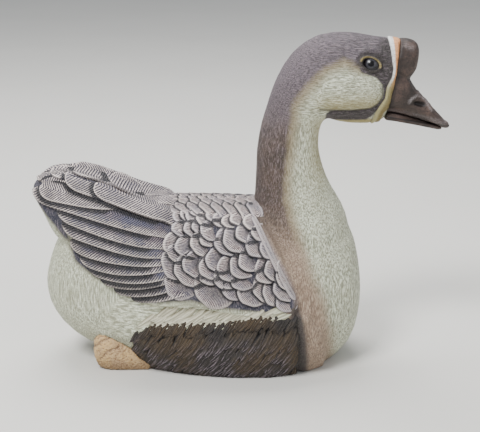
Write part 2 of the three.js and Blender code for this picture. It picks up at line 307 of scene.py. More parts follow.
# ---------- charts
class Chart:
    """A surface seen along one direction, kept as an even grid of heights for feathers to lie on.

    u runs along the bird and v runs up the view. Past the edge of what is seen the heights fall away.
    """

    pitch = 0.003
    fall = 0.0021  # for each cell past the edge
    easing = 6

    def __init__(self, tree, outward, up, low, high):
        self.w = Vector(outward).normalized()
        self.v = (Vector(up) - Vector(up).project(self.w)).normalized()
        self.u = self.v.cross(self.w)
        self.low = low
        self.count = [int((high[i] - low[i]) / self.pitch) + 2 for i in (0, 1)]
        heights = np.full(self.count, np.nan)
        for i in range(self.count[0]):
            for j in range(self.count[1]):
                start = self.u * (low[0] + i * self.pitch) + self.v * (low[1] + j * self.pitch) + self.w
                hit = tree.ray_cast(start, -self.w)[0]
                if hit is not None:
                    heights[i, j] = hit.dot(self.w)
        while np.isnan(heights).any():
            heights = self.grown(heights)
        for _ in range(self.easing):
            heights = self.softened(heights)
        self.heights = heights
        self.slope_u = np.gradient(heights, self.pitch, axis=0)
        self.slope_v = np.gradient(heights, self.pitch, axis=1)

    def grown(self, heights):
        """Fills the empty cells next to known ones, a little lower than those."""
        wide = np.pad(heights, 1, constant_values=np.nan)
        around = np.stack([wide[:-2, 1:-1], wide[2:, 1:-1], wide[1:-1, :-2], wide[1:-1, 2:]])
        known = ~np.isnan(around)
        total, number = np.where(known, around, 0).sum(0), known.sum(0)
        new = np.isnan(heights) & (number > 0)
        return np.where(new, total / np.maximum(number, 1) - self.fall, heights)

    @staticmethod
    def softened(heights):
        """Each height evened out with its neighbours along both axes."""
        for axis in (0, 1):
            wide = np.pad(heights, [(1, 1) if k == axis else (0, 0) for k in (0, 1)], mode="edge")
            first = wide[:-2] if axis == 0 else wide[:, :-2]
            last = wide[2:] if axis == 0 else wide[:, 2:]
            heights = heights * 0.5 + (first + last) * 0.25
        return heights

    def read(self, grid, u, v):
        """A grid's values between its points."""
        x = np.clip((u - self.low[0]) / self.pitch, 0, self.count[0] - 1.001)
        y = np.clip((v - self.low[1]) / self.pitch, 0, self.count[1] - 1.001)
        i, j = x.astype(int), y.astype(int)
        a, b = x - i, y - j
        return (grid[i, j] * (1 - a) * (1 - b) + grid[i + 1, j] * a * (1 - b)
                + grid[i, j + 1] * (1 - a) * b + grid[i + 1, j + 1] * a * b)

    def at(self, u, v, lift):
        """Points at chart places, raised off the surface along its normal."""
        axes = np.array([self.u[:], self.v[:], self.w[:]])
        height = self.read(self.heights, u, v)
        tilt = np.stack([-self.read(self.slope_u, u, v), -self.read(self.slope_v, u, v), np.ones_like(u)], -1)
        tilt /= np.linalg.norm(tilt, axis=-1, keepdims=True)
        return np.stack([u, v, height], -1) @ axes + (tilt @ axes) * lift[..., None]


SURFACES = {}
CLOSING = 0.6 * MM  # how far the nodes swell so that the cuts between them close
OFF_FLOOR = 0.4 * MM  # how far feathers stay above the floor
SIDE_LEAN = math.radians(20)  # the side chart looks down by this much
VIEWS = {  # outward, up, lowest and highest u and v
    "side": ((0, -math.cos(SIDE_LEAN), math.sin(SIDE_LEAN)), (0, 0, 1), (-0.3, -0.06), (0.14, 0.3)),
    "top": ((0, 0, 1), (0, 1, 0), (-0.3, -0.13), (0.1, 0.13)),
}


def base_skin():
    """The fused flesh before the fine shaping, kept for the charts."""
    if "skin" not in SURFACES:
        bm = remeshed(joined_copy(FLESH + ("eye_left", "eye_right"), CLOSING), sizes().skin_cell)
        eased(bm, 4)
        SURFACES["skin"] = bm
        SURFACES["side tree"] = BVHTree.FromBMesh(bm)
        trunk = remeshed(joined_copy(TRUNK, CLOSING), 4 * MM)
        SURFACES["top tree"] = BVHTree.FromBMesh(trunk)
        trunk.free()
    return SURFACES["skin"]


def chart(kind):
    """The surface of the bird's right side, or its top without neck and head."""
    if kind not in SURFACES:
        base_skin()
        SURFACES[kind] = Chart(SURFACES[kind + " tree"], *VIEWS[kind])
    return SURFACES[kind]


# ---------- vanes
def vane_template(along, across):
    """A closed thin slab: x runs from root to tip, y from side to side, and its lower face is at z = -1."""
    bm = bmesh.new()
    bmesh.ops.create_grid(bm, x_segments=along, y_segments=across, size=0.5)
    bmesh.ops.solidify(bm, geom=bm.faces[:], thickness=1.0)
    low = min(v.co.z for v in bm.verts)
    high = max(v.co.z for v in bm.verts)
    bmesh.ops.translate(bm, verts=bm.verts, vec=(0, 0, -high))
    bmesh.ops.scale(bm, verts=bm.verts, vec=(1, 1, 1 / (high - low)))
    return mesh_from(bm, "vane")


def rim_path(local, all_round):
    """The upper rim of a template from one side round the tip to the other, as vertex numbers in order."""
    t, s, top = local[:, 0] + 0.5, local[:, 1] * 2, local[:, 2] > -0.5
    tip = sorted(np.flatnonzero(top & (t > 0.999)), key=lambda i: s[i])
    if not all_round:
        return tip
    first = sorted(np.flatnonzero(top & (s < -0.999) & (t > 0.2) & (t < 0.999)), key=lambda i: t[i])
    last = sorted(np.flatnonzero(top & (s > 0.999) & (t > 0.2) & (t < 0.999)), key=lambda i: -t[i])
    return first + tip + last


def shade_under(u, v, size, ranks, path, reach):
    """How close each place is to the rim of a vane that lies over it, from 0 to 1."""
    shade = np.zeros(len(u))
    vane_rank = np.repeat(ranks, size)
    for over, rank in enumerate(ranks):
        line = np.stack([u[over * size:][path], v[over * size:][path]], 1)
        low, high = line.min(0) - 2 * reach, line.max(0) + 2 * reach
        near = np.flatnonzero(
            (vane_rank < rank) & (u > low[0]) & (u < high[0]) & (v > low[1]) & (v < high[1]))
        if len(near):
            shade[near] = np.maximum(shade[near], np.exp(-held_distance(u[near], v[near], line) / reach))
    return shade


def laid(name, kind, rows, place, template, thickness, mirror=1, cells=True,
         ranks=None, all_round=True, reach=3.0):
    """Joins one vane for each row of a table, moved into place on a chart, as one object.

    ranks say which vane lies over which, and give the shade that falls within reach of a rim.
    """
    vanes = np.array(rows)
    count, size = len(vanes), len(template.vertices)
    bm = bmesh.new()
    for _ in range(count):
        bm.from_mesh(template)
    mesh = mesh_from(bm, name)
    local = read_points(mesh, "co")
    owner = np.repeat(np.arange(count), size)
    t, s, under = local[:, 0] + 0.5, local[:, 1] * 2, -local[:, 2]
    u, v, lift, barb, rim = place({key: vanes[:, i][owner] for i, key in enumerate(place.columns)}, t, s)
    points = chart(kind).at(u * MM, v * MM, (lift - under * thickness) * MM)
    points[:, 1] *= mirror
    points[:, 2] = np.maximum(points[:, 2], OFF_FLOOR)
    mesh.vertices.foreach_set("co", points.astype(np.float32).ravel())
    add_values(mesh, {"barb": barb, "rim": rim, "along": t, "across": s})
    if ranks is not None:
        path = rim_path(local[:size], all_round)
        add_value(mesh, "shade", shade_under(u, v, size, np.asarray(ranks, float), path, reach))
    tones = np.array([random.Random(name[:5] + str(i)).random() for i in range(count)])
    add_value(mesh, "tone", tones[owner])
    bake_map(mesh, size, count, t, s, under, u, v, cells)
    mesh.update()
    bm = bmesh.new()
    bm.from_mesh(mesh)
    bmesh.ops.recalc_face_normals(bm, faces=bm.faces)
    bm.to_mesh(mesh)
    bm.free()
    return new_object(name, mesh)


def bake_map(mesh, size, count, t, s, under, u, v, cells):
    """OFBake: a cell for each large vane's upper face, or a small patch at its root's place."""
    side = math.ceil(math.sqrt(count))
    owner = np.arange(len(t)) // size
    corner = np.empty(len(mesh.loops), np.int32)
    mesh.loops.foreach_get("vertex_index", corner)
    patch = 0.003
    if cells:
        left, low = (owner % side) / side, (owner // side) / side
        x, y = left + (0.06 + 0.88 * t) / side, low + (0.08 + 0.86 * (s + 1) / 2) / side
        small_x, small_y = left + 0.02 / side + patch * t, low + 0.02 / side + patch * (s + 1) / 2
    else:
        root = owner * size
        x = small_x = 0.02 + 0.95 * ((u - u.min()) / (np.ptp(u) + 1e-9))[root] + patch * t
        y = small_y = 0.02 + 0.95 * ((v - v.min()) / (np.ptp(v) + 1e-9))[root] + patch * (s + 1) / 2
    faces_under = np.zeros(len(mesh.loops), bool)
    for face in mesh.polygons:
        if any(under[i] > 0.5 for i in face.vertices):
            faces_under[face.loop_start:face.loop_start + face.loop_total] = True
    uv = np.stack([np.where(faces_under, small[corner], large[corner])
                   for small, large in ((small_x, x), (small_y, y))], 1)
    mesh.uv_layers.new(name="OFBake").data.foreach_set("uv", uv.astype(np.float32).ravel())


SCALLOP_SPREAD = math.radians(80)  # from the middle of a scallop's rim to each end
SCALLOP_BEND = 2.5


def scallop(p, t, s):
    """A rounded vane whose free rim is an arc about its root, and whose barbs spread like a fan."""
    radius = 0.10 + 0.90 * t**0.8
    turn = s * SCALLOP_SPREAD
    uneven = np.sin(4.3 * turn + p["u"] * 0.7 + p["v"]) + 0.6 * np.sin(9.1 * turn + p["v"] * 1.3)
    full = radius * (1.0 - 0.07 * np.abs(s) ** 6 * radius + 0.022 * uneven * radius**2)
    along = p["reach"] * (full * np.cos(turn) - 1.0)
    across = p["half"] * full * np.sin(turn) + SCALLOP_BEND * (1.0 - radius) ** 2
    c, d = np.cos(np.radians(p["facing"])), np.sin(np.radians(p["facing"]))
    u = p["u"] + along * c - across * d
    v = p["v"] + along * d + across * c
    rim = (1.0 - radius) * (p["reach"] + p["half"]) / 2
    lift = p["rise"] * (1.9 * radius * np.cos(turn) ** 0.7 - 0.9) + p["tilt"] * s * radius
    lift = lift + 0.6 * hump(rim - 1.5, 1.8) - 0.6 * hump(rim, 0.7)
    return u, v, lift, turn * p["half"] * radius**0.4, rim


scallop.columns = ("u", "v", "facing", "half", "reach", "rise", "tilt")


def long_vane(p, t, s):
    """A vane with a shaft: a bowed middle line through three points, and a rounded tip."""
    run = 1.0 - (1.0 - t) ** 1.35
    a, m, b = ((p["u0"], p["v0"]), (p["u1"], p["v1"]), (p["u2"], p["v2"]))
    weights = (2 * run**2 - 3 * run + 1, 4 * run - 4 * run**2, 2 * run**2 - run)
    slopes = (4 * run - 3, 4 - 8 * run, 4 * run - 1)
    cu, cv = (sum(w * q[k] for w, q in zip(weights, (a, m, b))) for k in (0, 1))
    du, dv = (sum(w * q[k] for w, q in zip(slopes, (a, m, b))) for k in (0, 1))
    size = np.hypot(du, dv) + 1e-9
    length = np.hypot(b[0] - a[0], b[1] - a[1])
    round_from = 1.0 - p["blunt"] * p["half"] / length
    tip = np.clip((run - round_from) / (1.0 - round_from), 0.0, 1.0)
    wide = p["half"] * (p["root"] + (1 - p["root"]) * smooth_step(0.0, 0.35, run))
    wide = wide * np.sqrt(np.maximum(1.0 - tip**2.2, 0.012))
    u, v = cu - dv / size * s * wide, cv + du / size * s * wide
    rim = np.minimum((1.0 - np.abs(s)) * wide, (1.0 - run) * length)
    barb = run * length - np.abs(s) * wide * p["slant"]
    lift = p["rise"] * smooth_step(-0.05, 0.22, run) + p["tilt"] * s - p["crown"] * s**2
    lift = lift - 4.5 * (1 - smooth_step(0.0, 0.25, run))
    lift = lift + 0.5 * hump(s, 0.10) + p["kick"] * run**3
    return u, v, lift, barb, rim


long_vane.columns = (
    "u0", "v0", "u1", "v1", "u2", "v2", "half", "rise", "tilt", "crown", "blunt", "root", "slant", "kick",
)


def vane_row(root_at, middle, tip, half, rise, tilt=0.0, crown=0.9, blunt=1.0, root=0.7, slant=0.8, kick=1.0):
    """One long vane's row: its middle line, half-width, lift, side tilt, crown, tip and root shape, the
    barbs' slant and how far its tip stands up."""
    return (*root_at, *middle, *tip, half, rise, tilt, crown, blunt, root, slant, kick)


# ---------- wiring of the paints
class Value:
    """An output socket that can be used in plain arithmetic, each sign adding a Math node."""

    def __init__(self, wiring, socket):
        self.wiring, self.socket = wiring, socket

    def __add__(self, other):
        return self.wiring.calc("ADD", self, other)

    def __sub__(self, other):
        return self.wiring.calc("SUBTRACT", self, other)

    def __rsub__(self, other):
        return self.wiring.calc("SUBTRACT", other, self)

    def __mul__(self, other):
        return self.wiring.calc("MULTIPLY", self, other)

    def __truediv__(self, other):
        return self.wiring.calc("DIVIDE", self, other)


class Wiring:
    """Short calls that add and join the nodes of one tree."""

    def __init__(self, tree):
        self.tree = tree
        self.coordinates = None

    def __getitem__(self, name):
        """A mask or measure kept on the mesh."""
        return self.made("Attribute", {}, "Fac", attribute_name=name, attribute_type="GEOMETRY")

    def feed(self, sockets, values):
        """Joins each input named to a value's socket, or sets its number, vector or colour."""
        for key, value in values.items():
            socket = sockets[key]
            if isinstance(value, Value):
                self.tree.links.new(value.socket, socket)
            elif isinstance(value, (int, float)):
                socket.default_value = value
            else:
                opaque = (1.0,) if socket.type == "RGBA" and len(value) == 3 else ()
                socket.default_value = tuple(value) + opaque

    def made(self, kind, values, wanted=0, **settings):
        """A new node's output; no wanted output gives all of them by name."""
        node = self.tree.nodes.new("ShaderNode" + kind)
        for key, value in settings.items():
            setattr(node, key, value)
        self.feed(node.inputs, values)
        return self.named(node.outputs) if wanted is None else Value(self, node.outputs[wanted])

    def named(self, sockets):
        return {socket.name: Value(self, socket) for socket in sockets}

    def calc(self, operation, *values, clamp=False):
        return self.made("Math", dict(enumerate(values)), operation=operation, use_clamp=clamp)

    def step(self, value, low, high, first=0.0, last=1.0):
        """Runs softly from first to last while the value runs from low to high."""
        limits = {"Value": value, "From Min": low, "From Max": high, "To Min": first, "To Max": last}
        return self.made("MapRange", limits, interpolation_type="SMOOTHSTEP")

    def mix(self, amount, first, second):
        """The first colour, with that amount of the second over it."""
        return self.made("Mix", {"Factor": amount, 6: first, 7: second}, 2, data_type="RGBA")

    def place(self, scale=None, turn=(0, 0, 0)):
        """Object coordinates, stretched and turned by degrees where a scale is given."""
        if self.coordinates is None:
            self.coordinates = self.made("TexCoord", {}, "Object")
        if scale is None:
            return self.coordinates
        turned = [math.radians(angle) for angle in turn]
        return self.made("Mapping", {"Vector": self.coordinates, "Scale": scale, "Rotation": turned})

    def noise(self, vector, scale, detail=2.0, rough=0.5):
        return self.made("TexNoise", {"Vector": vector, "Scale": scale, "Detail": detail, "Roughness": rough})

    def group(self, kind, **inputs):
        values = {name.replace("_", " "): value for name, value in inputs.items()}
        return self.made("Group", values, None, node_tree=effect(kind))

    def brush(self, look, pale, crest, amount):
        return self.group("brush", Color=look, Paint=pale, Mask=crest, Amount=amount)["Color"]

    # Dark paint through a mask: a wash in the low places, and also painted shade and shadow
    def wash(self, look, dark, hollow, amount):
        return self.group("wash", Color=look, Paint=dark, Mask=hollow, Amount=amount)["Color"]


def effect_tree(name, inputs, outputs):
    """A node group with those inputs and their plain values, its wiring and its two ends."""
    kinds = {"Vector": "Vector", "Color": "Color", "Paint": "Color"}
    tree = bpy.data.node_groups.new(name, "ShaderNodeTree")
    for label, plain in inputs.items():
        kind = "NodeSocket" + kinds.get(label, "Float")
        socket = tree.interface.new_socket(label, in_out="INPUT", socket_type=kind)
        if plain is not None:
            socket.default_value = plain
    for label in outputs:
        kind = "NodeSocket" + kinds.get(label, "Float")
        tree.interface.new_socket(label, in_out="OUTPUT", socket_type=kind)
    given, out = tree.nodes.new("NodeGroupInput").outputs, tree.nodes.new("NodeGroupOutput").inputs
    w = Wiring(tree)
    return tree, w, w.named(given), out


def cast_grain():
    """Sandy surface of the casting: fine pits, and a broad unevenness."""
    tree, w, given, out = effect_tree(
        "Cast grain", {"Vector": None, "Grain Scale": 900.0}, ("Height", "Speckle", "Pits", "Cloud"))
    fine = w.noise(given["Vector"], given["Grain Scale"], 3.0, 0.6)
    broad = w.noise(given["Vector"], 38.0, 4.0, 0.6)
    pits = w.noise(given["Vector"], given["Grain Scale"] * 0.62)
    w.feed(out, {
        "Height": fine * 0.6 + broad * 0.4,
        "Speckle": w.step(fine, 0.42, 0.66),
        "Pits": w.step(pits, 0.48, 0.32),
        "Cloud": w.step(broad, 0.35, 0.65),
    })
    return tree


def carved_strokes():
    """Long scratched strokes that follow the stretch of the vector given."""
    tree, w, given, out = effect_tree(
        "Carved strokes", {"Vector": None, "Pitch Scale": 260.0}, ("Height", "Crest"))
    wide = w.noise(given["Vector"], given["Pitch Scale"], 1.5, 0.45)
    narrow = w.noise(given["Vector"], given["Pitch Scale"] * 2.1)
    height = w.step(wide * 0.62 + narrow * 0.38, 0.34, 0.66)
    w.feed(out, {"Height": height, "Crest": w.step(height, 0.55, 0.95)})
    return tree


def carved_barbs():
    """Even grooves across a feather, from a running length in millimetres, broken here and there."""
    tree, w, given, out = effect_tree(
        "Carved barbs", {"Run": 0.0, "Pitch": 2.3, "Vector": None, "Tone": 0.0}, ("Height", "Crest"))
    shift = (w.noise(given["Vector"], 140.0) - 0.5) * 2.6
    turn = given["Run"] / given["Pitch"] * math.tau + (shift + given["Tone"] * 6.0)
    wave = w.calc("MULTIPLY_ADD", w.calc("SINE", turn), 0.5, 0.5)
    whole = w.step(w.noise(given["Vector"], 420.0, 2.0, 0.6), 0.28, 0.56)
    w.feed(out, {
        "Height": w.calc("POWER", wave, 0.7),
        "Crest": w.calc("MULTIPLY", w.step(wave, 0.38, 0.88), whole, clamp=True),
    })
    return tree


def thin_paint(name):
    """A node group that lays a second paint over the first through a mask."""
    tree, w, given, out = effect_tree(
        name, {"Color": None, "Paint": None, "Mask": 0.0, "Amount": 0.5}, ("Color",))
    share = w.calc("MULTIPLY", given["Mask"], given["Amount"], clamp=True)
    w.feed(out, {"Color": w.mix(share, given["Color"], given["Paint"])})
    return tree


def dry_brush():
    """Pale paint dragged over the high places only."""
    return thin_paint("Dry brush")


def dark_wash():
    """Thin dark paint laid through a mask: a wash run into the low places, and painted shade and shadow."""
    return thin_paint("Dark wash")


EFFECTS = {
    "grain": cast_grain, "strokes": carved_strokes, "barbs": carved_barbs,
    "brush": dry_brush, "wash": dark_wash,
}
BUILT = {}


def effect(kind):
    if kind not in BUILT:
        BUILT[kind] = EFFECTS[kind]()
    return BUILT[kind]


# ---------- paints
# Some tints are painted shade and shadow: the brow's dark, the shadow along the wing's edge, and the dark in
# the skin's and bill's creases and under the foot
TINT_CHIPS = dict(  # what the main paints are shaded, worn or dusted with
    cream_high=(238, 242, 224), cream_groove=(84, 85, 64), cream_pit=(112, 106, 92),
    cream_old=(158, 150, 122), brow=(74, 68, 76), nape_cloud=(104, 82, 68), crown_cloud=(112, 100, 110),
    nape_high=(140, 124, 128), buff_high=(206, 190, 168), nape_groove=(42, 33, 32), halo=(128, 110, 82),
    halo_groove=(84, 68, 48), wing_edge=(136, 122, 128), wing_edge_high=(200, 188, 192),
    mask_high=(104, 92, 100), blotch=(56, 48, 52), under_edge=(62, 54, 50), under_thigh=(44, 38, 38),
    band_low_rear=(170, 162, 116), band_low_front=(118, 104, 60), band_groove=(120, 100, 70),
    lid_high=(168, 150, 96), skin_crease=(34, 28, 28), skin_dust=(225, 220, 205),
    covert_blue=(100, 98, 126), covert_warm=(158, 126, 118), rim_dull=(216, 206, 208),
    covert_dust=(224, 214, 206), flight_warm=(112, 94, 96), flight_dust=(222, 212, 200),
    lock_dust=(200, 194, 184), thigh_dark=(22, 21, 26), thigh_warm=(74, 60, 42), tuft_dark=(134, 128, 104),
    tuft_warm=(204, 200, 178), tuft_high=(228, 224, 206), bill_warm=(84, 66, 58), bill_groove=(34, 26, 24),
    bill_pit=(30, 22, 20), bill_crease=(20, 14, 14), pupil=(5, 4, 6), iris=(42, 42, 48),
    iris_fleck=(66, 64, 64), eye_line=(20, 17, 20), foot_old=(170, 140, 104), foot_groove=(104, 72, 48),
    foot_crease=(84, 58, 42), foot_low=(96, 70, 50), foot_high=(232, 204, 164), floor_cloud=(208, 206, 200),
)
TINTS = SimpleNamespace(**{name: paint(*chip) for name, chip in TINT_CHIPS.items()})


def new_material(name, roughness, specular=0.35):
    """A material, its wiring and its shader, with the plain numbers on the shader's own sockets."""
    material = bpy.data.materials.new(name)
    material.use_nodes = True
    w, shader = Wiring(material.node_tree), material.node_tree.nodes["Principled BSDF"]
    w.feed(shader.inputs, {"Roughness": roughness, "Specular IOR Level": specular})
    return material, w, shader


def finish_material(w, shader, colour, height, depth):
    bump = w.made("Bump", {"Strength": 1.0, "Distance": depth, "Height": height})
    w.feed(shader.inputs, {"Base Color": colour, "Normal": bump})


def barbed(w, pitch):
    """The barbs of a feather whose barb attribute runs in millimetres."""
    return w.group("barbs", Run=w["barb"], Pitch=pitch / MM, Vector=w.place(), Tone=w["tone"])


def plumage_paint():
    """The casting's skin: cream, with the crown, nape, buff band, mask and band laid over it."""
    c, t = paints(), TINTS
    material, w, shader = new_material("painted plumage", 0.72)
    grain = w.group("grain", Vector=w.place(), Grain_Scale=1100.0)
    down = w.group("strokes", Vector=w.place((1, 1, 0.17)), Pitch_Scale=800.0)
    level = w.group("strokes", Vector=w.place((0.12, 1, 1), (0, 8, 0)), Pitch_Scale=900.0)
    slope = w.group("strokes", Vector=w.place((0.12, 1, 1), (0, -32, 0)), Pitch_Scale=400.0)
    trail = w.group("strokes", Vector=w.place((1, 1, 0.07), (0, 12, 0)), Pitch_Scale=860.0)
    head, flank, low_neck, rear = (w[name] for name in ("head", "flank", "low_neck", "rear"))

    def by_place(name):
        """Strokes run down the neck, but along the head, the rear and the flank."""
        value = down[name]
        for share, other in ((head, level), (rear, trail), (flank, slope)):
            value = value * (1.0 - share) + other[name] * share
        return value

    height, crest = by_place("Height"), by_place("Crest")
    hollow = w.step(height, 0.5, 0.1)
    ragged = (height - 0.5) * 5.0
    patchy = (w.noise(w.place(), 55.0, 3.0, 0.6) - 0.5) * 14.0
    uneven = ragged + patchy

    def inside(name, low, high, rag=1.0):
        """How far a place is inside an area whose edge is ragged, from 0 at low to 1 at high."""
        return w.step(w[name] + uneven * rag, low, high)

    pale = w.mix(crest * 0.8, c.cream, t.cream_high)
    pale = w.wash(pale, t.cream_groove, w.step(height, 0.72, 0.04), w.step(rear, 0.0, 1.0, 0.76, 0.6))
    pale = w.wash(pale, t.cream_pit, grain["Pits"], 0.5)
    pale = w.mix(w["throat"] * 0.5, pale, c.olive)
    pale = w.mix(grain["Cloud"] * 0.12, pale, t.cream_old)

    # Painted shade: the crown darker towards the brow and the eye
    crown = w.mix(w["brow"], c.crown, t.brow)
    brown = w.mix(low_neck, w.mix(w["crown_share"], c.nape, crown), c.buff)
    brown = w.mix(grain["Cloud"] * 0.30, brown, w.mix(head, t.nape_cloud, t.crown_cloud))
    brown = w.brush(brown, w.mix(low_neck, t.nape_high, t.buff_high), crest, 0.45)
    brown = w.wash(brown, t.nape_groove, hollow, w.step(low_neck, 0.0, 1.0, 0.65, 0.45))
    halo = w.wash(w.mix(low_neck, t.halo, c.buff), t.halo_groove, hollow, 0.6)
    look = w.mix(inside("nape", -17.0, 2.0, 0.6) * 0.85, pale, halo)
    look = w.mix(inside("nape", -2.0, 8.0, 0.5), look, brown)

    wing_edge = w.mix(crest, t.wing_edge, t.wing_edge_high)
    look = w.mix(w["wing_front"] * 0.75, look, wing_edge)
    look = w.mix(w["olive"] * 0.8, look, c.olive)
    look = w.mix(inside("mask", -1.6, 1.6, 0.12), look, w.mix(crest * 0.6, c.mask, t.mask_high))
    look = w.mix(inside("blotch", 0.0, 1.0, 0.02) * 0.9, look, w.mix(crest, t.blotch, c.thigh))
    # Painted shadow along the wing's edge, and painted shade on the skin under the feathers
    look = w.wash(look, t.under_edge, inside("under_feathers", -6.0, 1.0, 0.2), 0.75)
    under = w.mix(crest * 0.45, c.recess, c.feather)
    look = w.mix(inside("under_feathers", -1.0, 2.0, 0.1), look, under)
    look = w.mix(inside("under_thigh", -3.0, 3.0, 0.15), look, w.mix(crest, t.under_thigh, c.thigh))

    share = w["band_share"]
    band = w.mix(w.step(share, 0.33, 0.42), c.band_white, c.band_orange)
    band_low = w.mix(w.step(share, 0.25, 0.7), t.band_low_rear, t.band_low_front)
    band = w.mix(w["band_low"], band, band_low)
    band = w.mix(hollow * 0.35, band, t.band_groove)
    look = w.mix(w.step(w["band"], -0.5, 0.5), look, band)
    look = w.mix(w["lid"] * 0.85, look, w.mix(grain["Speckle"], c.olive, t.lid_high))
    # Painted shade in the creases round the cheek, the lids and the eye, and behind the band
    look = w.wash(look, t.skin_crease, w["crease"], 0.88)
    look = w.mix(grain["Speckle"] * 0.10, look, t.skin_dust)

    w.feed(shader.inputs, {"Roughness": w.step(grain["Speckle"], 0.0, 1.0, 0.66, 0.82)})
    finish_material(w, shader, look, height * 0.75 + grain["Height"] * 0.45, 0.0010)
    return material


def covert_paint(name, inner_brush, groove):
    """Mauve-grey scallops: painted shade where they go under their neighbours and on their outer edges,
    painted shadow beside the rims over them, pale on barbs and rims.
    """
    c, t = paints(), TINTS
    material, w, shader = new_material(name, 0.68)
    grain, barbs = w.group("grain", Vector=w.place()), barbed(w, sizes().barb_pitch)
    rim, tone = w["rim"], w["tone"]
    patchy = w.step(w.noise(w.place(), 70.0, 3.0), 0.36, 0.64)
    ragged = rim + w.noise(w.place(), 320.0) * 2.4
    edge = w.step(ragged, 5.4, 2.6) * w.step(barbs["Height"], 0.0, 0.5, 0.5, 1.0)
    look = w.mix(tone, c.feather, t.covert_blue)
    look = w.mix(patchy * 0.7, look, t.covert_warm)
    look = w.wash(look, c.recess, 1.0 - barbs["Height"], groove)
    # Painted shade: darker away from the free rim, where the scallop goes under the one above
    look = w.wash(look, c.recess, w.step(rim, 5.0, 17.0), 0.8)
    amount = w.step(rim, 13.0, 2.5, inner_brush, 1.0) * w.step(patchy, 0.0, 1.0, 0.7, 1.0)
    look = w.brush(look, c.rim, barbs["Crest"], amount)
    look = w.brush(look, w.mix(tone, c.rim, t.rim_dull), edge, 1.0)
    # Painted shadow just outside the rims of the scallops that lie over this one
    look = w.wash(look, c.shadow, w.step(w["shade"], 0.22, 0.62), 0.97)
    # Painted shade on the rim's outer edge and wall
    look = w.wash(look, c.recess, w.step(rim, 0.7, 0.0), 0.8)
    look = w.mix(grain["Speckle"] * 0.15, look, t.covert_dust)
    carving = barbs["Height"] * w.step(rim, 0.4, 2.0, 0.5, 1.0)
    finish_material(w, shader, look, carving + grain["Height"] * 0.35, 0.0020)
    return material


def flight_paint():
    """Long vanes: slate above, straw dry-brushed below, with slanting barbs and pale tips."""
    c, t = paints(), TINTS
    material, w, shader = new_material("painted flight feathers", 0.68)
    grain, barbs = w.group("grain", Vector=w.place()), barbed(w, sizes().flight_pitch)
    across, rim = w["across"], w["rim"]
    tip = w.calc("MAXIMUM", w.step(w["along"], 0.68, 0.97), w["bright"])
    patchy = w.step(w.noise(w.place(), 45.0, 3.0), 0.36, 0.64)
    look = w.mix(patchy * 0.7, c.slate, t.flight_warm)
    look = w.mix(tip * 0.6, look, c.feather)
    look = w.wash(look, c.recess, 1.0 - barbs["Height"], 0.92)
    amount = w.calc("MAXIMUM", w.step(across, 0.25, 0.85, 0.12, 1.0), tip * 0.95)
    amount = amount * w.step(patchy, 0.0, 1.0, 0.6, 1.0)
    look = w.brush(look, w.mix(patchy, c.straw, c.rim), barbs["Crest"], amount)
    ragged = rim + w.noise(w.place(), 320.0) * 2.0
    low_edge = w.step(across, 0.3, 0.9) * 0.5
    edge = w.step(ragged, 3.6, 1.8) * w.calc("MAXIMUM", tip, low_edge)
    look = w.brush(look, c.rim, edge, 0.9)
    # Painted shadow just below the edge of the feather that lies over this one
    look = w.wash(look, c.shadow, w.step(w["shade"], 0.2, 0.55), 0.98)
    # Painted shade on the vane's outer edges and walls
    look = w.wash(look, c.recess, w.step(rim, 0.8, 0.1), 0.75)
    look = w.mix(grain["Speckle"] * 0.12, look, t.flight_dust)
    finish_material(w, shader, look, barbs["Height"] + grain["Height"] * 0.35, 0.0020)
    return material


def lock_paint(name, dark, base, warm, pale):
    """Carved locks: a streaked base with warm patches, and paint rubbed on the crests towards the tips."""
    material, w, shader = new_material(name, 0.74)
    grain, tone = w.group("grain", Vector=w.place()), w["tone"]
    streak_pitch = 3.4
    run = w["across"] * streak_pitch
    streak = w.group("barbs", Run=run, Pitch=streak_pitch, Vector=w.place(), Tone=tone)
    patchy = w.step(w.noise(w.place(), 16.0, 3.0), 0.38, 0.6)
    look = w.mix(patchy, base, warm)
    look = w.mix(tone * 0.3, look, dark)
    look = w.wash(look, dark, 1.0 - streak["Height"], 0.5)
    # Painted shade along the edges of each lock, where the locks meet
    look = w.wash(look, dark, w.step(w["rim"], 1.4, 0.2), 0.85)
    amount = w.step(w["along"], 0.25, 0.8) * w.step(patchy, 1.0, 0.0, 0.35, 1.0)
    look = w.brush(look, pale, streak["Crest"] * w["worn"], amount)
    look = w.mix(grain["Speckle"] * 0.05, look, TINTS.lock_dust)
    finish_material(w, shader, look, streak["Height"] + grain["Height"] * 0.4, 0.0010)
    return material


def bill_paint():
    """Dark brown bill and knob with a faint grain, rubbed grey-mauve places, painted highlights on its lower
    edge and knob, painted shade in its creases, and a satin look.
    """
    c, t = paints(), TINTS
    material, w, shader = new_material("painted bill", 0.5)
    grain = w.group("grain", Vector=w.place(), Grain_Scale=620.0)
    streaks = w.group("strokes", Vector=w.place((0.3, 1, 1), (0, 24, 0)), Pitch_Scale=420.0)
    look = w.mix(grain["Cloud"] * 0.8, c.bill, t.bill_warm)
    look = w.wash(look, t.bill_groove, w.step(streaks["Height"], 0.5, 0.1), 0.4)
    look = w.wash(look, t.bill_pit, grain["Pits"], 0.6)
    # Rubbed paint on the nostril's ridge, and painted highlight on the bill's lower edge and the knob's top
    rubbed = w.step(grain["Speckle"], 0.0, 1.0, 0.3, 1.0) * w["rubbed"]
    look = w.brush(look, c.bill_sheen, rubbed, 0.65)
    # Painted shade in the nostril and along the mouth, and a dark line where the bill meets the band
    look = w.wash(look, t.bill_crease, w["crease"], 0.95)
    w.feed(shader.inputs, {"Roughness": w.step(grain["Height"], 0.3, 0.7, 0.42, 0.62)})
    finish_material(w, shader, look, streaks["Height"] * 0.3 + grain["Height"], 0.0006)
    return material


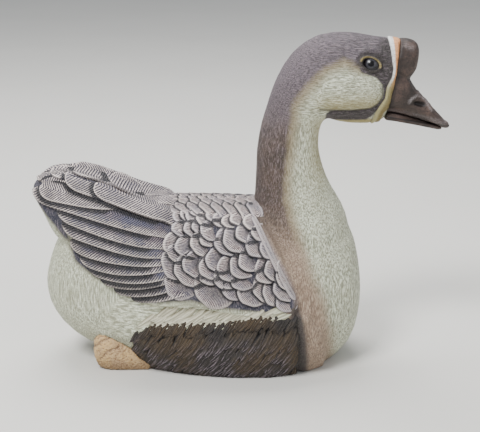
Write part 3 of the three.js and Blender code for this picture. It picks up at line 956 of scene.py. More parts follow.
def eye_paint():
    """A painted eye: dark pupil, grey iris and a black outline, under a clear coat."""
    t = TINTS
    material, w, shader = new_material("painted eye", 0.25, specular=0.2)
    w.feed(shader.inputs, {"Coat Weight": 0.35, "Coat Roughness": 0.06})
    uneven = w["iris"] + (w.noise(w.place(), 500.0) - 0.5)  # millimetres from its middle
    look = w.mix(w.step(uneven, 3.4, 4.2), t.pupil, t.iris)
    flecks = w.step(w.noise(w.place(), 900.0, 3.0), 0.45, 0.7) * w.step(uneven, 3.6, 4.6)
    look = w.mix(flecks, look, t.iris_fleck)
    look = w.mix(w.step(uneven, 5.0, 7.0), look, t.eye_line)
    finish_material(w, shader, look, w.noise(w.place(), 260.0), 0.0002)
    return material


def foot_paint():
    """Orange-tan foot with brown in its creases, painted shade towards its underside, and a sandy grain."""
    c, t = paints(), TINTS
    material, w, shader = new_material("painted foot", 0.66)
    grain = w.group("grain", Vector=w.place(), Grain_Scale=700.0)
    scales = w.noise(w.place((1, 1, 1.8)), 240.0)
    look = w.mix(grain["Cloud"], c.foot, t.foot_old)
    look = w.wash(look, t.foot_groove, w.step(scales, 0.5, 0.36), 0.7)
    look = w.wash(look, t.foot_crease, w["crease"], 0.9)
    # Painted shade: the foot darker towards the floor
    look = w.wash(look, t.foot_low, w["low"], 0.7)
    look = w.brush(look, t.foot_high, grain["Speckle"], 0.4)
    finish_material(w, shader, look, scales + grain["Height"] * 0.6, 0.0009)
    return material


def floor_paint():
    """Pale plain floor with a hardly seen cloudiness."""
    material, w, shader = new_material("plain floor", 0.9)
    cloudy = w.mix(w.noise(w.place(), 3.0), paints().floor, TINTS.floor_cloud)
    w.feed(shader.inputs, {"Base Color": cloudy})
    return material


# ---------- places on the bird, side view [x, z] in mm
NAPE_AREA = (
    (154, 404), (134, 412), (109, 402), (90, 383), (71, 357), (66, 298), (62, 258), (61, 231), (67, 210),
    (88, 147), (106, 104), (116, 61), (124, -20), (60, -20), (56, 100), (20, 200), (-20, 240), (-20, 480),
    (230, 480), (230, 404),
)
WING_AREA = (
    (70, 118), (58, 144), (50, 157), (41, 171), (30, 188), (24, 204), (20, 222), (-60, 240), (-150, 275),
    (-285, 275), (-285, 238), (-262, 222), (-240, 200), (-226, 180), (-215, 155), (-194, 142), (-166, 129),
    (-128, 115), (-104, 114), (-62, 118), (-22, 109), (30, 102), (60, 100), (72, 106),
)
THIGH_AREA = (
    (-139, 30), (-142, 46), (-137, 60), (-124, 69), (-108, 75), (-63, 75), (-13, 82), (40, 86), (80, 92),
    (86, 60), (88, 20), (88, -9), (-128, -9),
)
FLANK_AREA = ((-190, 60), (-150, 128), (-80, 112), (-20, 104), (70, 96), (60, 70), (-60, 62), (-150, 50))
MASK_AREA = (
    (156, 398), (166, 394), (176, 390), (183, 382), (185.5, 374), (185, 364), (179, 356), (170, 350),
    (147, 348.5), (118, 349), (112, 345), (112, 333.5), (166, 333), (172, 338), (177, 345), (184, 352),
    (190, 362), (191, 380), (198, 392), (199, 445), (184, 445), (176, 424), (156, 420), (150, 408),
)
CHEEK_AREA = (
    (112, 350), (147, 350), (169, 351.5), (178, 358), (183, 366), (182, 378), (174, 388), (158, 394),
    (140, 398), (112, 390), (96, 372), (100, 355),
)
CHEEK_CREASE = ((104, 350), (122, 348.5), (147, 348), (170, 350), (180, 356.5), (185, 366), (184, 378))
BAND_REAR = (
    (173, 326), (174, 333), (177, 344), (181, 352), (188, 363), (189.5, 378), (196, 391), (197.5, 401),
    (196, 411), (194, 426), (190, 446),
)
BAND_FRONT = (
    (184, 322), (185.5, 331), (188.5, 343), (195, 350), (198, 362), (200, 379), (204.5, 391), (206, 408),
    (207.5, 420), (209.5, 446),
)
DEWLAP_LINE = ((112, 338), (140, 337), (168, 336))
BROW_LINE = ((148, 414), (158, 423), (172, 426), (186, 417))
WING_FRONT_LINE = ((72, 110), (66, 128), (58, 147), (50, 160), (41, 174), (30, 190))
BLOTCH_LINE = ((72, 98), (78, 74), (82, 40), (84, -10))
KNOB_LINE = ((207, 392), (214, 386), (224, 386), (230, 392))
KNOB_TOP_LINE = ((214, 430), (222, 427))
BILL_EDGE_LINE = ((196, 345), (222, 340), (250, 333), (270, 327))
FOOT_FOLDS = (((-186, 18), (-176, 30), (-160, 36)), ((-196, 32), (-184, 44), (-166, 50)))
NOSTRIL_RIDGE = ((220, 357), (224, 362), (230, 365.5), (237, 364), (244, 357), (250, 346))
MOUTH_LINE = ((186, 338), (205, 335), (224, 331.5), (245, 327.5), (268, 324), (280, 322))
EYE_OPENING = {"x": 167.5, "z": 408.5, "long": 11.0, "high": 7.0, "tilt": -20}
EYE_BALL = {"x": 169.25, "y": 21.5, "z": 405.0, "radius": 13.65}
IRIS_MIDDLE = (167.8, 409.5)
NOSTRIL = {"x": 234.5, "z": 354.5, "long": 8.5, "high": 3.4, "tilt": -12}

# ---------- places of the feathers, in chart millimetres
# Coverts in rows from the wing's lower rim inwards, rear to front. Each one has the middle of its free rim
# (u, v), its facing and its half-width. It lies over the one before it, and over the row before.
COVERT_ROWS = (
    ((-92, 84, 212, 27), (-44, 68, 238, 31), (-16, 76, 226, 22), (4, 70, 232, 24), (22, 77, 224, 24),
     (37, 68, 228, 20), (50, 60, 222, 18)),
    ((-101, 118, 189, 27), (-80, 104, 206, 26), (-50, 98, 222, 22), (-28, 90, 226, 20), (-6, 90, 222, 18),
     (24, 97, 221, 20), (47, 76, 225, 21)),
    ((-98, 142, 186, 23), (-71, 116, 196, 19), (-50, 106, 212, 19), (-27, 105, 210, 19),
     (-9, 108, 215, 20), (35, 105, 210, 17), (51, 92, 213, 19)),
    ((-82, 141, 186, 17), (-63, 141, 194, 20), (-43, 120, 200, 20), (-50, 147, 198, 13),
     (-32, 143, 202, 22), (2, 114, 221, 19), (50, 107, 208, 14)),
    ((-87, 164, 182, 12), (-72, 165, 186, 14), (-62, 166, 188, 13), (-50, 160, 196, 15),
     (-17, 139, 222, 22), (12, 130, 224, 20), (29, 129, 222, 15)),
    ((-101, 182, 182, 10), (-88, 180, 182, 10), (-77, 184, 186, 11), (-70, 180, 190, 11),
     (-56, 176, 196, 12), (-34, 172, 206, 13), (-4, 155, 202, 17), (15, 155, 196, 13)),
    ((-88, 196, 182, 8), (-78, 195, 184, 9), (-66, 190, 188, 10), (-42, 178, 204, 10), (-24, 171, 198, 10),
     (-12, 173, 206, 10), (4, 171, 200, 12)),
)
# Flight feathers from the bottom up: the lower edge at root, middle and tip (u, v), and the half-width
FLIGHT_BANDS = (
    (-58, 82, -104, 71.5, -138, 77, 9.0),
    (-68, 90, -119, 78.5, -160, 87, 9.5),
    (-74, 100, -126, 87.5, -178, 99, 10.0),
    (-76, 105, -133, 94.5, -194, 112, 11.0),
    (-80, 112, -146, 105, -206, 126, 12.0),
    (-82, 117, -150, 117.5, -219, 144, 13.0),
    (-84, 126, -150, 131, -230, 168, 15.0),
    (-84, 136, -155, 146, -238, 186, 16.0),
    (-84, 149, -158, 165, -273, 210, 16.0),
)
TERTIAL_BANDS = (  # the same, for the feathers that stand above them
    (-140, 186, -205, 192, -261, 212, 15.0),
    (-140, 204, -192, 221, -252, 235, 11.0),
    (-112, 179, -170, 197, -231, 226, 17.0),
    (-80, 166, -135, 183, -192, 212, 14.0),
)
INNER_TERTIALS = (  # middle lines seen from above, for the feathers between the wings
    (-150, -8, -200, -12, -250, -12, 15.0),
    (-104, -10, -160, -16, -222, -17, 17.0),
    (-70, -9, -125, -14, -178, -20, 19.0),
)
TERTIAL_BRIGHT = (0.9, 1.0, 0.85, 0.75)  # share of pale paint on each of the tertials above
TAIL_ROOT = -112
TAIL_FAN = ((10, 150), (-10, 150), (5.5, 155), (-5.5, 155), (0, 158))  # angle in degrees and length
MANTLE_LINES = (  # lines of roots seen from above: u, v and facing at each point
    ((-92, -42, 150), (-60, -44, 135), (-20, -47, 122), (24, -45, 112)),
    ((-84, -27, 156), (-50, -28, 142), (-12, -29, 128), (26, -27, 118)),
)
THIGH_TOP = (  # u, v and lock length
    (-132, 32, 20), (-110, 42, 22), (-37, 45, 24), (22, 52, 24), (70, 52, 24),
)
FLANK_LINES = (  # u, v, facing, reach and half-width
    ((-104, 56, 214, 40, 4.2), (-40, 54, 212, 38, 4.2), (30, 57, 210, 34, 4.2), (72, 58, 208, 26, 3.6)),
    ((-88, 68, 214, 40, 4.2), (-40, 62, 212, 38, 4.2), (30, 62, 210, 34, 4.2), (68, 64, 208, 26, 3.6)),
)

# ---------- camera and lamps, in metres
CAMERA = {"x": 0.00125, "aim_z": 0.1963, "away": 1.4925, "down": 17.2, "lens": 82.5}
LAMPS = (  # name, place, height aimed at, power and size
    ("key light", (-1.1, -1.5, 2.6), 0.15, 112, 0.9),
    ("fill light", (2.2, -1.8, 1.2), 0.15, 22, 2.2),
    ("top light", (-0.3, 0.9, 2.6), 0.2, 84, 1.6),
)


def band_places(px, pz):
    """Distances in front of the band's rear line and behind its front line, and the share of the way over."""
    rear, front = -line_side(px, pz, BAND_REAR), line_side(px, pz, BAND_FRONT)
    return rear, front, np.clip(rear / np.maximum(rear + front, 1.0), 0.0, 1.0)


# ---------- skin
def head_relief(px, py, pz):
    """Millimetres that the head's skin is raised at each place."""
    on_side, by_eye = smooth_step(6, 14, np.abs(py)), smooth_step(12, 18, np.abs(py))
    cheek = 2.6 * smooth_step(0, 9, area_distance(px, pz, CHEEK_AREA)) * on_side
    cheek_groove = 1.7 * hump(held_distance(px, pz, CHEEK_CREASE), 3.0) * on_side
    rear, front, share = band_places(px, pz)
    hollow = 1.3 * smooth_step(392, 378, pz) * hump(share - 0.45, 0.22)
    band = smooth_step(-0.4, 1.2, np.minimum(rear, front)) * (1.5 - hollow)
    band_groove = 1.0 * hump(rear + 1.0, 1.6)
    dewlap_groove = 1.6 * hump(held_distance(px, pz, DEWLAP_LINE), 6.0) * on_side
    out, up = oval_place(px, pz, EYE_OPENING)
    upper = smooth_step(-0.5, 0.25, up)
    lids = by_eye * (2.6 * upper + 1.3 * (1 - upper)) * hump(out - 1.17, 0.26)
    lid_groove = by_eye * 0.9 * hump(out - 1.62, 0.26) * (0.4 + 0.6 * upper)
    socket = by_eye * 3.4 * smooth_step(1.04, 0.92, out)
    brow = by_eye * 1.3 * hump(held_distance(px, pz, BROW_LINE), 7.0)
    return cheek - cheek_groove + band - band_groove - dewlap_groove + lids - lid_groove - socket + brow


def skin_relief(px, py, pz):
    """The head's relief, and the skin sunk a little under the feathers that lie on it."""
    on_side = smooth_step(30, 45, np.abs(py))
    under_wing = 1.6 * smooth_step(1, 7, area_distance(px, pz, WING_AREA))
    under_thigh = 2.4 * smooth_step(2, 8, area_distance(px, pz, THIGH_AREA)) * on_side
    head = np.where((px > 80) & (pz > 318), head_relief(px, py, pz), 0.0)
    return head + (-under_wing - under_thigh)


def skin_masks(px, py, pz, facing_up):
    """Where each paint goes, as distances in millimetres or as shares."""
    ay = np.abs(py)
    rear, front, share = band_places(px, pz)
    out, up = oval_place(px, pz, EYE_OPENING)
    on_side, on_flank = smooth_step(14, 19, ay), smooth_step(30, 45, ay)
    mask = np.where((ay > 5) | (pz < 360), area_distance(px, pz, MASK_AREA), -9)
    turned_down = np.where(px < -150, 16 * (facing_up + 0.32), 99)
    thigh = area_distance(px, pz, THIGH_AREA) * np.where((px > 60) & (pz < 84), 0.3, 1.0)
    cheek_low = smooth_step(378, 352, pz) * smooth_step(345, 351, pz) * smooth_step(88, 120, px)
    cheek_low = cheek_low * smooth_step(195, 180, px)
    lip = smooth_step(335.5, 332, pz) * smooth_step(324, 327, pz) * smooth_step(108, 116, px)
    upper = smooth_step(-0.45, 0.1, up)
    lower_lid = (1 - upper) * hump(out - 1.15, 0.42) * 0.9
    # Painted shade in the creases of the cheek, round the lids and the eye opening, and behind the band
    crease = 0.8 * hump(held_distance(px, pz, CHEEK_CREASE), 2.6) * smooth_step(8, 14, ay)
    crease = crease + on_side * (hump(out - 1.55, 0.30) * 0.8 * upper + lower_lid + (out < 0.98))
    crease = crease + 0.7 * hump(rear + 0.8, 1.5) * (pz > 322)
    return {
        "nape": area_distance(px, pz, NAPE_AREA),
        "low_neck": smooth_step(232, 150, pz),
        "head": smooth_step(318, 352, pz),
        "crown_share": smooth_step(270, 400, pz),
        # Painted shade on the crown, darker towards the brow and the eye
        "brow": smooth_step(85, 172, px) * smooth_step(345, 385, pz),
        "rear": smooth_step(-40, -110, px),
        "wing_front": hump(held_distance(px, pz, WING_FRONT_LINE), 8),
        "throat": smooth_step(225, 290, pz) * smooth_step(80, 110, px) * smooth_step(345, 325, pz),
        "flank": smooth_step(-4, 10, area_distance(px, pz, FLANK_AREA)) * smooth_step(40, 55, ay),
        "mask": mask * np.where(pz > 404, 0.22, 1.0),
        # Painted shade under the wing's feathers and painted shadow along its edge; at the rear, not on
        # places that face down
        "under_feathers": np.minimum(area_distance(px, pz, WING_AREA), turned_down),
        "under_thigh": np.where(ay > 30, thigh, -20),
        "blotch": smooth_step(13, 2, held_distance(px, pz, BLOTCH_LINE)) * on_flank,
        "band": np.where(pz > 312, np.minimum(rear, front), -9),
        "band_share": share,
        "band_low": smooth_step(398, 372, pz),
        "olive": np.clip(cheek_low * 0.75 + lip, 0, 1),
        "lid": on_side * upper * hump(out - 1.17, 0.24),
        "crease": np.clip(crease, 0, 1),
    }


def on_head(x, z):
    """A region that starts at that length along the bird and that height, in metres."""
    return lambda place: place.x > x and place.z > z


def near_eye(place):
    middle = Vector((0.168, math.copysign(0.031, place.y), 0.408))
    return (place - middle).length < 0.027


def make_skin(material):
    """One skin for all the flesh, with a finer mesh on the head and round the eyes."""
    bm = base_skin().copy()
    refined(bm, on_head(0.085, 0.322))
    eased(bm, 2, on_head(0.08, 0.315))
    refined(bm, near_eye)
    eased(bm, 2, near_eye)
    carved(bm, skin_relief)
    eased(bm, 1, on_head(0.08, 0.32), factor=0.35)
    mesh = mesh_from(bm, "plumage_skin")
    add_values(mesh, skin_masks(*(read_points(mesh, "co") / MM).T, read_points(mesh, "normal")[:, 2]))
    fit_out(new_object("plumage_skin", mesh), material, "pale_plumage", *FLESH)


# ---------- bill, eyes and feet
def bill_relief(px, py, pz):
    out = oval_place(px, pz, NOSTRIL)[0]
    on_side = smooth_step(6, 12, np.abs(py))
    nostril = -4.6 * smooth_step(1.2, 0.6, out) * on_side
    ridge = 3.0 * hump(held_distance(px, pz, NOSTRIL_RIDGE), 3.6) * on_side
    nail = 1.0 * hump(np.hypot(px - 277, pz - 324), 9.0)
    knob_groove = 1.4 * hump(held_distance(px, pz, KNOB_LINE), 6.0)
    knob_lumps = 0.45 * np.sin(px * 0.42 + pz * 0.11) * hump(pz - 402, 26) * hump(px - 212, 22)
    lip = 0.8 * hump(held_distance(px, pz, MOUTH_LINE) - 3.0, 2.4)
    return nostril + ridge + nail - knob_groove + knob_lumps + lip


def bill_masks(px, py, pz):
    """The nostril's ridge where the dark paint is rubbed, the painted highlight along the lower edge and the
    knob's top, and the creases that get painted shade.
    """
    out = oval_place(px, pz, NOSTRIL)[0]
    on_side = smooth_step(6, 12, np.abs(py))
    # Rubbed paint on the nostril's ridge; painted highlight on the bill's lower edge and the knob's top
    rubbed = hump(held_distance(px, pz, NOSTRIL_RIDGE), 3.2)
    rubbed = rubbed + 0.7 * hump(held_distance(px, pz, BILL_EDGE_LINE), 6.5)
    rubbed = rubbed + 0.6 * hump(held_distance(px, pz, KNOB_TOP_LINE), 7)
    # Painted shade in the nostril and along the mouth; a dark line at the band's front
    crease = smooth_step(1.25, 0.8, out) * on_side + hump(held_distance(px, pz, MOUTH_LINE), 1.8)
    crease = crease + 0.6 * hump(held_distance(px, pz, BAND_FRONT) - 1.0, 3.0)
    return {"rubbed": np.clip(rubbed + 0.06, 0, 1), "crease": np.clip(crease, 0, 1)}


def make_bill(material):
    """The upper half with its knob, and the lower half."""
    halves = (("bill_upper_and_knob", ("bill_upper", "bill_knob")), ("bill_lower_half", ("bill_lower",)))
    for name, nodes in halves:
        bm = remeshed(joined_copy(nodes, 0.5 * MM), sizes().bill_cell)
        eased(bm, 6)
        carved(bm, bill_relief)
        eased(bm, 1)
        mesh = mesh_from(bm, name)
        add_values(mesh, bill_masks(*(read_points(mesh, "co") / MM).T))
        fit_out(new_object(name, mesh), material, "bill", *nodes)


def make_eyes(material):
    """A ball on each side, painted by the distance from the iris's middle."""
    for side, sign in SIDES:
        bm = bmesh.new()
        bmesh.ops.create_uvsphere(bm, u_segments=40, v_segments=24, radius=EYE_BALL["radius"] * MM)
        middle = (EYE_BALL["x"] * MM, -sign * EYE_BALL["y"] * MM, EYE_BALL["z"] * MM)
        bmesh.ops.translate(bm, verts=bm.verts, vec=middle)
        mesh = mesh_from(bm, "eye_ball_" + side)
        px, py, pz = (read_points(mesh, "co") / MM).T
        from_middle = np.hypot((px - IRIS_MIDDLE[0]) * 0.95, pz - IRIS_MIDDLE[1])
        add_value(mesh, "iris", np.where(py * sign < 0, from_middle, 20))
        fit_out(new_object("eye_ball_" + side, mesh), material, "eye", "eye_" + side)


def foot_folds(px, pz, width):
    return sum(hump(held_distance(px, pz, fold), width) for fold in FOOT_FOLDS)


def foot_relief(px, _, pz):
    return -1.3 * foot_folds(px, pz, 2.6) + 0.5 * np.sin(px * 0.9) * np.sin(pz * 0.8)


def make_feet(material):
    """The tucked feet, with two folds between the toes."""
    for side, _ in SIDES:
        name, node = "foot_pad_" + side, "foot_" + side
        bm = remeshed(joined_copy((node,), 0.2 * MM), 1.6 * MM)
        eased(bm, 16)
        carved(bm, foot_relief)
        mesh = mesh_from(bm, name)
        px, _, pz = (read_points(mesh, "co") / MM).T
        # low is painted shade, darker towards the floor
        add_values(mesh, {"crease": np.clip(foot_folds(px, pz, 2.4), 0, 1), "low": smooth_step(24, 4, pz)})
        fit_out(new_object(name, mesh), material, "foot", node)


# ---------- feathers
def heading(degrees):
    return math.cos(math.radians(degrees)), math.sin(math.radians(degrees))


def make_coverts(material):
    """Rounded vanes over the wing, shorter and flatter where they reach its front edge."""
    template = vane_template(7, 18)
    rise = sizes().scallop_rise / MM
    for side, sign in SIDES:
        chance = random_of("coverts " + side)
        rows, ranks = [], []
        for level, row in enumerate(COVERT_ROWS):
            for number, (u, v, facing, half) in enumerate(row):
                wild = [chance.uniform(-1, 1) for _ in range(5)]
                front = smooth_step(40, 60, u + 0.356 * (v - 75))  # the wing's front edge leans back
                reach = (half * 0.85 + 12) * (1 + 0.06 * wild[4]) * (1 - 0.5 * front)
                tilt = (-1.1 if level else -0.2) - 1.6 * front
                rows.append((
                    u + 1.2 * wild[0], v + 1.2 * wild[1], facing + 4 * wild[2],
                    half * (1.04 + 0.04 * wild[3]), reach, rise * (0.75 + half / 80), tilt))
                ranks.append(level + 0.01 * number)
        name = "wing_coverts_" + side + "_vanes"
        thing = laid(
            name, "side", rows, scallop, template, 3.6, sign, ranks=ranks, all_round=False, reach=2.8)
        fit_out(thing, material, "wing_plumage")


def make_wing_fronts(material):
    """The narrow edge that ends the coverts at the front of each wing."""
    template = vane_template(24, 8)
    row = vane_row(
        (10, 203), (40.5, 131), (71, 73), half=3.8, rise=3.2,
        crown=1.4, blunt=3.0, root=0.8, slant=0.9, kick=0.0)
    for side, sign in SIDES:
        thing = laid("wing_front_" + side, "side", [row], long_vane, template, 5.0, sign)
        fit_out(thing, material, "wing_plumage")


def make_flights(material):
    """The long feathers, each over the one below it; the tables give lower edges, so middles lie higher."""
    template = vane_template(28, 14)
    rows = []
    for number, (u0, v0, u1, v1, u2, v2, half) in enumerate(FLIGHT_BANDS + TERTIAL_BANDS):
        over = max(0, number - len(FLIGHT_BANDS) + 1)
        length = math.hypot(u2 - u0, v2 - v0)
        up_u, up_v = half * (v2 - v0) / length, -half * (u2 - u0) / length
        rows.append(vane_row(
            (u0 + up_u, v0 + up_v), (u1 + up_u, v1 + up_v), (u2 + 0.6 * up_u, v2 + 0.6 * up_v),
            half, rise=1.6 + 1.1 * over, tilt=1.4 if over else 2.4, crown=0.6 + 0.25 * over,
            blunt=1.5, root=0.85, slant=0.9, kick=0.8 if over else 0.4))
    bright = [0.0] * len(FLIGHT_BANDS) + list(TERTIAL_BRIGHT)
    for side, sign in SIDES:
        thing = laid(
            "flight_feathers_" + side, "side", rows, long_vane, template, 4.0, sign,
            ranks=range(len(rows)), reach=6.0)
        add_value(thing.data, "bright", np.repeat(bright, len(template.vertices)))
        fit_out(thing, material, "flight_plumage")


def make_mantle(material):
    """Short round-tipped feathers that rise from the wing's top edge to the middle of the back."""
    template = vane_template(12, 8)

    def lay(name, rows, sign=1):
        roots = [row[0] for row in rows]  # a feather further forward lies over the ones behind
        thing = laid(name, "top", rows, long_vane, template, 3.0, sign, ranks=roots, reach=3.2)
        fit_out(thing, material, "wing_plumage")

    reach, bow = 30.0, 3.0
    rows = []
    for line in MANTLE_LINES:
        for u, v, facing in spread(line, 9):
            c, s = heading(facing)
            rows.append(vane_row(
                (u - 6 * c, v - 6 * s), (u + reach * 0.5 * c + bow * s, v + reach * 0.5 * s - bow * c),
                (u + reach * c, v + reach * s), half=8.6, rise=3.0, tilt=0.7, root=0.75, slant=0.6, kick=1.6))
    for side, sign in SIDES:
        lay("mantle_feathers_" + side, rows, sign)
    lay("mantle_middle_feathers", [
        vane_row((x + 8, 0), (x - 8, 0), (x - 26, 0), half=8.5, rise=3.4, crown=1.2, slant=0.6)
        for x in range(22, -112, -13)
    ])


def make_tail(material):
    """The fan of the tail, and the inner tertials that lie over it between the wings."""
    rows = []
    for level, (angle, reach) in enumerate(TAIL_FAN):
        c, s = heading(angle)
        rows.append(vane_row(
            (TAIL_ROOT, 0.3 * reach * s), (TAIL_ROOT - reach * c * 0.5, reach * s * 0.75),
            (TAIL_ROOT - reach * c, reach * s), half=13.0, rise=1.2 + 0.5 * level,
            crown=1.2, slant=0.7, kick=0.5))
    for level, (u0, v0, u1, v1, u2, v2, half) in enumerate(INNER_TERTIALS):
        for sign in (1, -1):
            rows.append(vane_row(
                (u0, sign * v0), (u1, sign * v1), (u2, sign * v2), half, rise=2.8 + 1.2 * level + 0.2 * sign,
                tilt=0.9 * sign, blunt=1.3, root=0.8, kick=1.0 if level else -2.2))
        if level == 0:  # closes the hollow between the lowest pair
            rows.append(vane_row(
                (-140, 0), (-200, 0), (-256, 0), half=17.0, rise=8.6,
                crown=1.0, blunt=1.3, root=0.8, kick=0.0))
    thing = laid(
        "tail_feathers", "top", rows, long_vane, vane_template(24, 12), 3.4,
        ranks=range(len(rows)), reach=1.4)
    add_value(thing.data, "bright", np.full(len(thing.data.vertices), 0.8))
    fit_out(thing, material, "flight_plumage")


# ---------- locks
def lock_rows(label, lines, pitch, rise):
    """Locks set out along lines of roots: u, v, facing, reach and half-width at each point."""
    chance = random_of(label)
    rows = []
    for points in lines:
        run = sum(math.hypot(b[0] - a[0], b[1] - a[1]) for a, b in zip(points[:-1], points[1:]))
        for u, v, facing, reach, half in spread(points, max(2, int(run / pitch))):
            wild = [chance.uniform(-1, 1) for _ in range(6)]
            c, s = heading(facing + 7 * wild[0])
            reach *= 1 + 0.16 * wild[1]
            u, v = u + 0.4 * pitch * wild[2], v + 2.2 * wild[3]
            bow = 0.10 * reach * (0.6 + 0.4 * wild[4])
            rows.append(vane_row(
                (u, v), (u + 0.5 * reach * c - bow * s, v + 0.5 * reach * s + bow * c),
                (u + reach * c, v + reach * s), half * (1 + 0.12 * wild[5]), rise,
                tilt=0.35 * wild[2], blunt=4.2, root=0.55, slant=1.0, kick=0.7))
    return rows


def make_locks(piece, label, lines, pitch, rise, thickness, worn, material, slot):
    """Locks on both sides; worn gives how much paint is rubbed off at each height in millimetres."""
    template = vane_template(6, 4)
    for side, sign in SIDES:
        rows = lock_rows(label + " " + side, lines, pitch, rise)
        thing = laid(piece + "_" + side, "side", rows, long_vane, template, thickness, sign, cells=False)
        add_value(thing.data, "worn", worn(read_points(thing.data, "co")[:, 2] / MM))
        fit_out(thing, material, slot)


def make_thighs(material):
    """Long locks from the floor up, and shorter, finer ones at the thigh's upper edge."""
    reach = sizes().lock_length / MM
    lines = [((-116, 6, 222, reach, 5.0), (72, -6, 222, reach, 5.0))]
    for level in range(7):
        v, turn = -22 + 9.5 * level, 224 + 2 * level
        lines.append((
            (-132 + 1.5 * level, v, turn, reach, 4.8), (-20, v + 3, turn + 2, reach, 4.8),
            (76, v + 6, turn + 4, reach, 4.8)))
    for rise, start, half in ((0, 0, 3.4), (2.5, 3, 2.6), (-1.5, 5, 2.8)):
        lines.append(tuple((u + start, v + rise, 234, length, half) for u, v, length in THIGH_TOP))
    make_locks(
        "thigh_locks", "thigh", lines, sizes().lock_pitch / MM, 2.4, 3.0,
        lambda pz: smooth_step(78, 34, pz), material, "thigh_plumage")


def make_flanks(material):
    """Pale tufts in two lines between wing and thigh."""
    make_locks("flank_tufts", "flank", FLANK_LINES, 7.0, 1.2, 2.4, np.ones_like, material, "pale_plumage")


# ---------- stage
def stand(name, data, place):
    thing = bpy.data.objects.new(name, data)
    thing.location = place
    bpy.context.scene.collection.objects.link(thing)
    return thing


def make_stage():
    """A plain floor, the camera, three soft lamps and an even sky."""
    scene = bpy.context.scene
    bm = bmesh.new()
    bmesh.ops.create_grid(bm, x_segments=1, y_segments=1, size=6.0)
    floor = new_object("floor", mesh_from(bm, "floor"))
    floor.data.materials.append(floor_paint())

    data = bpy.data.cameras.new("camera")
    data.lens, data.sensor_width = CAMERA["lens"], 36.0
    away, down = CAMERA["away"], math.radians(CAMERA["down"])
    place = (CAMERA["x"], -away * math.cos(down), CAMERA["aim_z"] + away * math.sin(down))
    scene.camera = stand("camera", data, place)
    scene.camera.rotation_euler = (math.pi / 2 - down, 0, 0)

    for name, place, aim_z, power, size in LAMPS:
        data = bpy.data.lights.new(name, "AREA")
        data.energy, data.size = power, size
        towards = Vector((0, 0, aim_z)) - Vector(place)
        stand(name, data, place).rotation_euler = towards.to_track_quat("-Z", "Y").to_euler()

    scene.world = bpy.data.worlds.new("soft studio")
    scene.world.use_nodes = True
    sky = scene.world.node_tree.nodes["Background"].inputs
    sky["Color"].default_value, sky["Strength"].default_value = (0.86, 0.90, 0.96, 1), 0.62


# ---------- operators, panel and registration
class Step:
    """What the operators share."""

    bl_options = {"REGISTER", "UNDO"}


class GOOSE_OT_stage(Step, bpy.types.Operator):
    """Adds the plain floor, the camera and the soft lights."""

    bl_idname = "goose.stage"
    bl_label = "Stage"

    def execute(self, context):
        make_stage()
        return {"FINISHED"}


class GOOSE_OT_skin(Step, bpy.types.Operator):
    """Fuses the flesh nodes into one painted skin with the head's lids, cheeks and band."""

    bl_idname = "goose.skin"
    bl_label = "Skin"

    def execute(self, context):
        make_skin(plumage_paint())
        return {"FINISHED"}


class GOOSE_OT_bill(Step, bpy.types.Operator):
    """Shapes and paints the bill, its knob and its nostrils."""

    bl_idname = "goose.bill"
    bl_label = "Bill"

    def execute(self, context):
        make_bill(bill_paint())
        return {"FINISHED"}


class GOOSE_OT_eyes(Step, bpy.types.Operator):
    """Adds the two painted eyes."""

    bl_idname = "goose.eyes"
    bl_label = "Eyes"

    def execute(self, context):
        make_eyes(eye_paint())
        return {"FINISHED"}


class GOOSE_OT_feet(Step, bpy.types.Operator):
    """Shapes and paints the two tucked feet."""

    bl_idname = "goose.feet"
    bl_label = "Feet"

    def execute(self, context):
        make_feet(foot_paint())
        return {"FINISHED"}


class GOOSE_OT_tail(Step, bpy.types.Operator):
    """Lays the tail feathers."""

    bl_idname = "goose.tail"
    bl_label = "Tail"

    def execute(self, context):
        make_tail(flight_paint())
        return {"FINISHED"}


class GOOSE_OT_flights(Step, bpy.types.Operator):
    """Lays the long flight feathers of both wings."""

    bl_idname = "goose.flights"
    bl_label = "Flight feathers"

    def execute(self, context):
        make_flights(flight_paint())
        return {"FINISHED"}


class GOOSE_OT_coverts(Step, bpy.types.Operator):
    """Lays the rows of round coverts on both wings."""

    bl_idname = "goose.coverts"
    bl_label = "Coverts"

    def execute(self, context):
        make_coverts(covert_paint("painted coverts", inner_brush=0.6, groove=0.9))
        return {"FINISHED"}


class GOOSE_OT_wing_fronts(Step, bpy.types.Operator):
    """Lays the narrow edge at the front of each wing."""

    bl_idname = "goose.wing_fronts"
    bl_label = "Wing fronts"

    def execute(self, context):
        make_wing_fronts(covert_paint("painted wing front", inner_brush=0.9, groove=0.6))
        return {"FINISHED"}


class GOOSE_OT_mantle(Step, bpy.types.Operator):
    """Lays the short feathers over the back."""

    bl_idname = "goose.mantle"
    bl_label = "Mantle"

    def execute(self, context):
        # Paler than the coverts: pale rims on the back, and partly a painted highlight where the back faces
        # up
        make_mantle(covert_paint("painted mantle", inner_brush=1.0, groove=0.75))
        return {"FINISHED"}


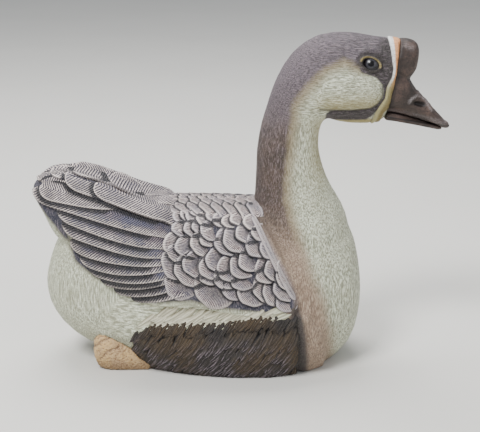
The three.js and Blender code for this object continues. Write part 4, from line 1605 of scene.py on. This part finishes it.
class GOOSE_OT_thighs(Step, bpy.types.Operator):
    """Lays the dark locks of both thighs."""

    bl_idname = "goose.thighs"
    bl_label = "Thighs"

    def execute(self, context):
        c, t = paints(), TINTS
        chips = (t.thigh_dark, c.thigh, t.thigh_warm, c.thigh_brush)
        make_thighs(lock_paint("painted thigh locks", *chips))
        return {"FINISHED"}


class GOOSE_OT_flanks(Step, bpy.types.Operator):
    """Lays the cream tufts between wing and thigh."""

    bl_idname = "goose.flanks"
    bl_label = "Flanks"

    def execute(self, context):
        c, t = paints(), TINTS
        chips = (t.tuft_dark, c.cream, t.tuft_warm, t.tuft_high)
        make_flanks(lock_paint("painted flank tufts", *chips))
        return {"FINISHED"}


OPERATORS = (  # in the order of the pieces
    GOOSE_OT_stage, GOOSE_OT_skin, GOOSE_OT_bill, GOOSE_OT_eyes, GOOSE_OT_feet, GOOSE_OT_tail,
    GOOSE_OT_flights, GOOSE_OT_coverts, GOOSE_OT_wing_fronts, GOOSE_OT_mantle, GOOSE_OT_thighs,
    GOOSE_OT_flanks,
)


class GOOSE_PT_panel(bpy.types.Panel):
    """Lists the goose's pieces, sizes and paints."""

    bl_idname = "GOOSE_PT_panel"
    bl_label = "Painted Garden Goose"
    bl_space_type = "VIEW_3D"
    bl_region_type = "UI"
    bl_category = "Goose"

    def draw(self, context):
        for group in (context.scene.goose_sizes, context.scene.goose_colours):
            box = self.layout.box()
            for key in group.bl_rna.properties.keys():
                if key not in ("rna_type", "name"):
                    box.prop(group, key)
        for item in OPERATORS:
            self.layout.operator(item.bl_idname)


CLASSES = (GooseSizes, GooseColours, *OPERATORS, GOOSE_PT_panel)


def register():
    for item in CLASSES:
        bpy.utils.register_class(item)
    bpy.types.Scene.goose_sizes = PointerProperty(type=GooseSizes)
    bpy.types.Scene.goose_colours = PointerProperty(type=GooseColours)


def unregister():
    del bpy.types.Scene.goose_colours
    del bpy.types.Scene.goose_sizes
    for item in reversed(CLASSES):
        bpy.utils.unregister_class(item)


def main():
    register()
    for item in OPERATORS:
        getattr(bpy.ops.goose, item.bl_idname.split(".")[1])()


if __name__ == "__main__":
    main()
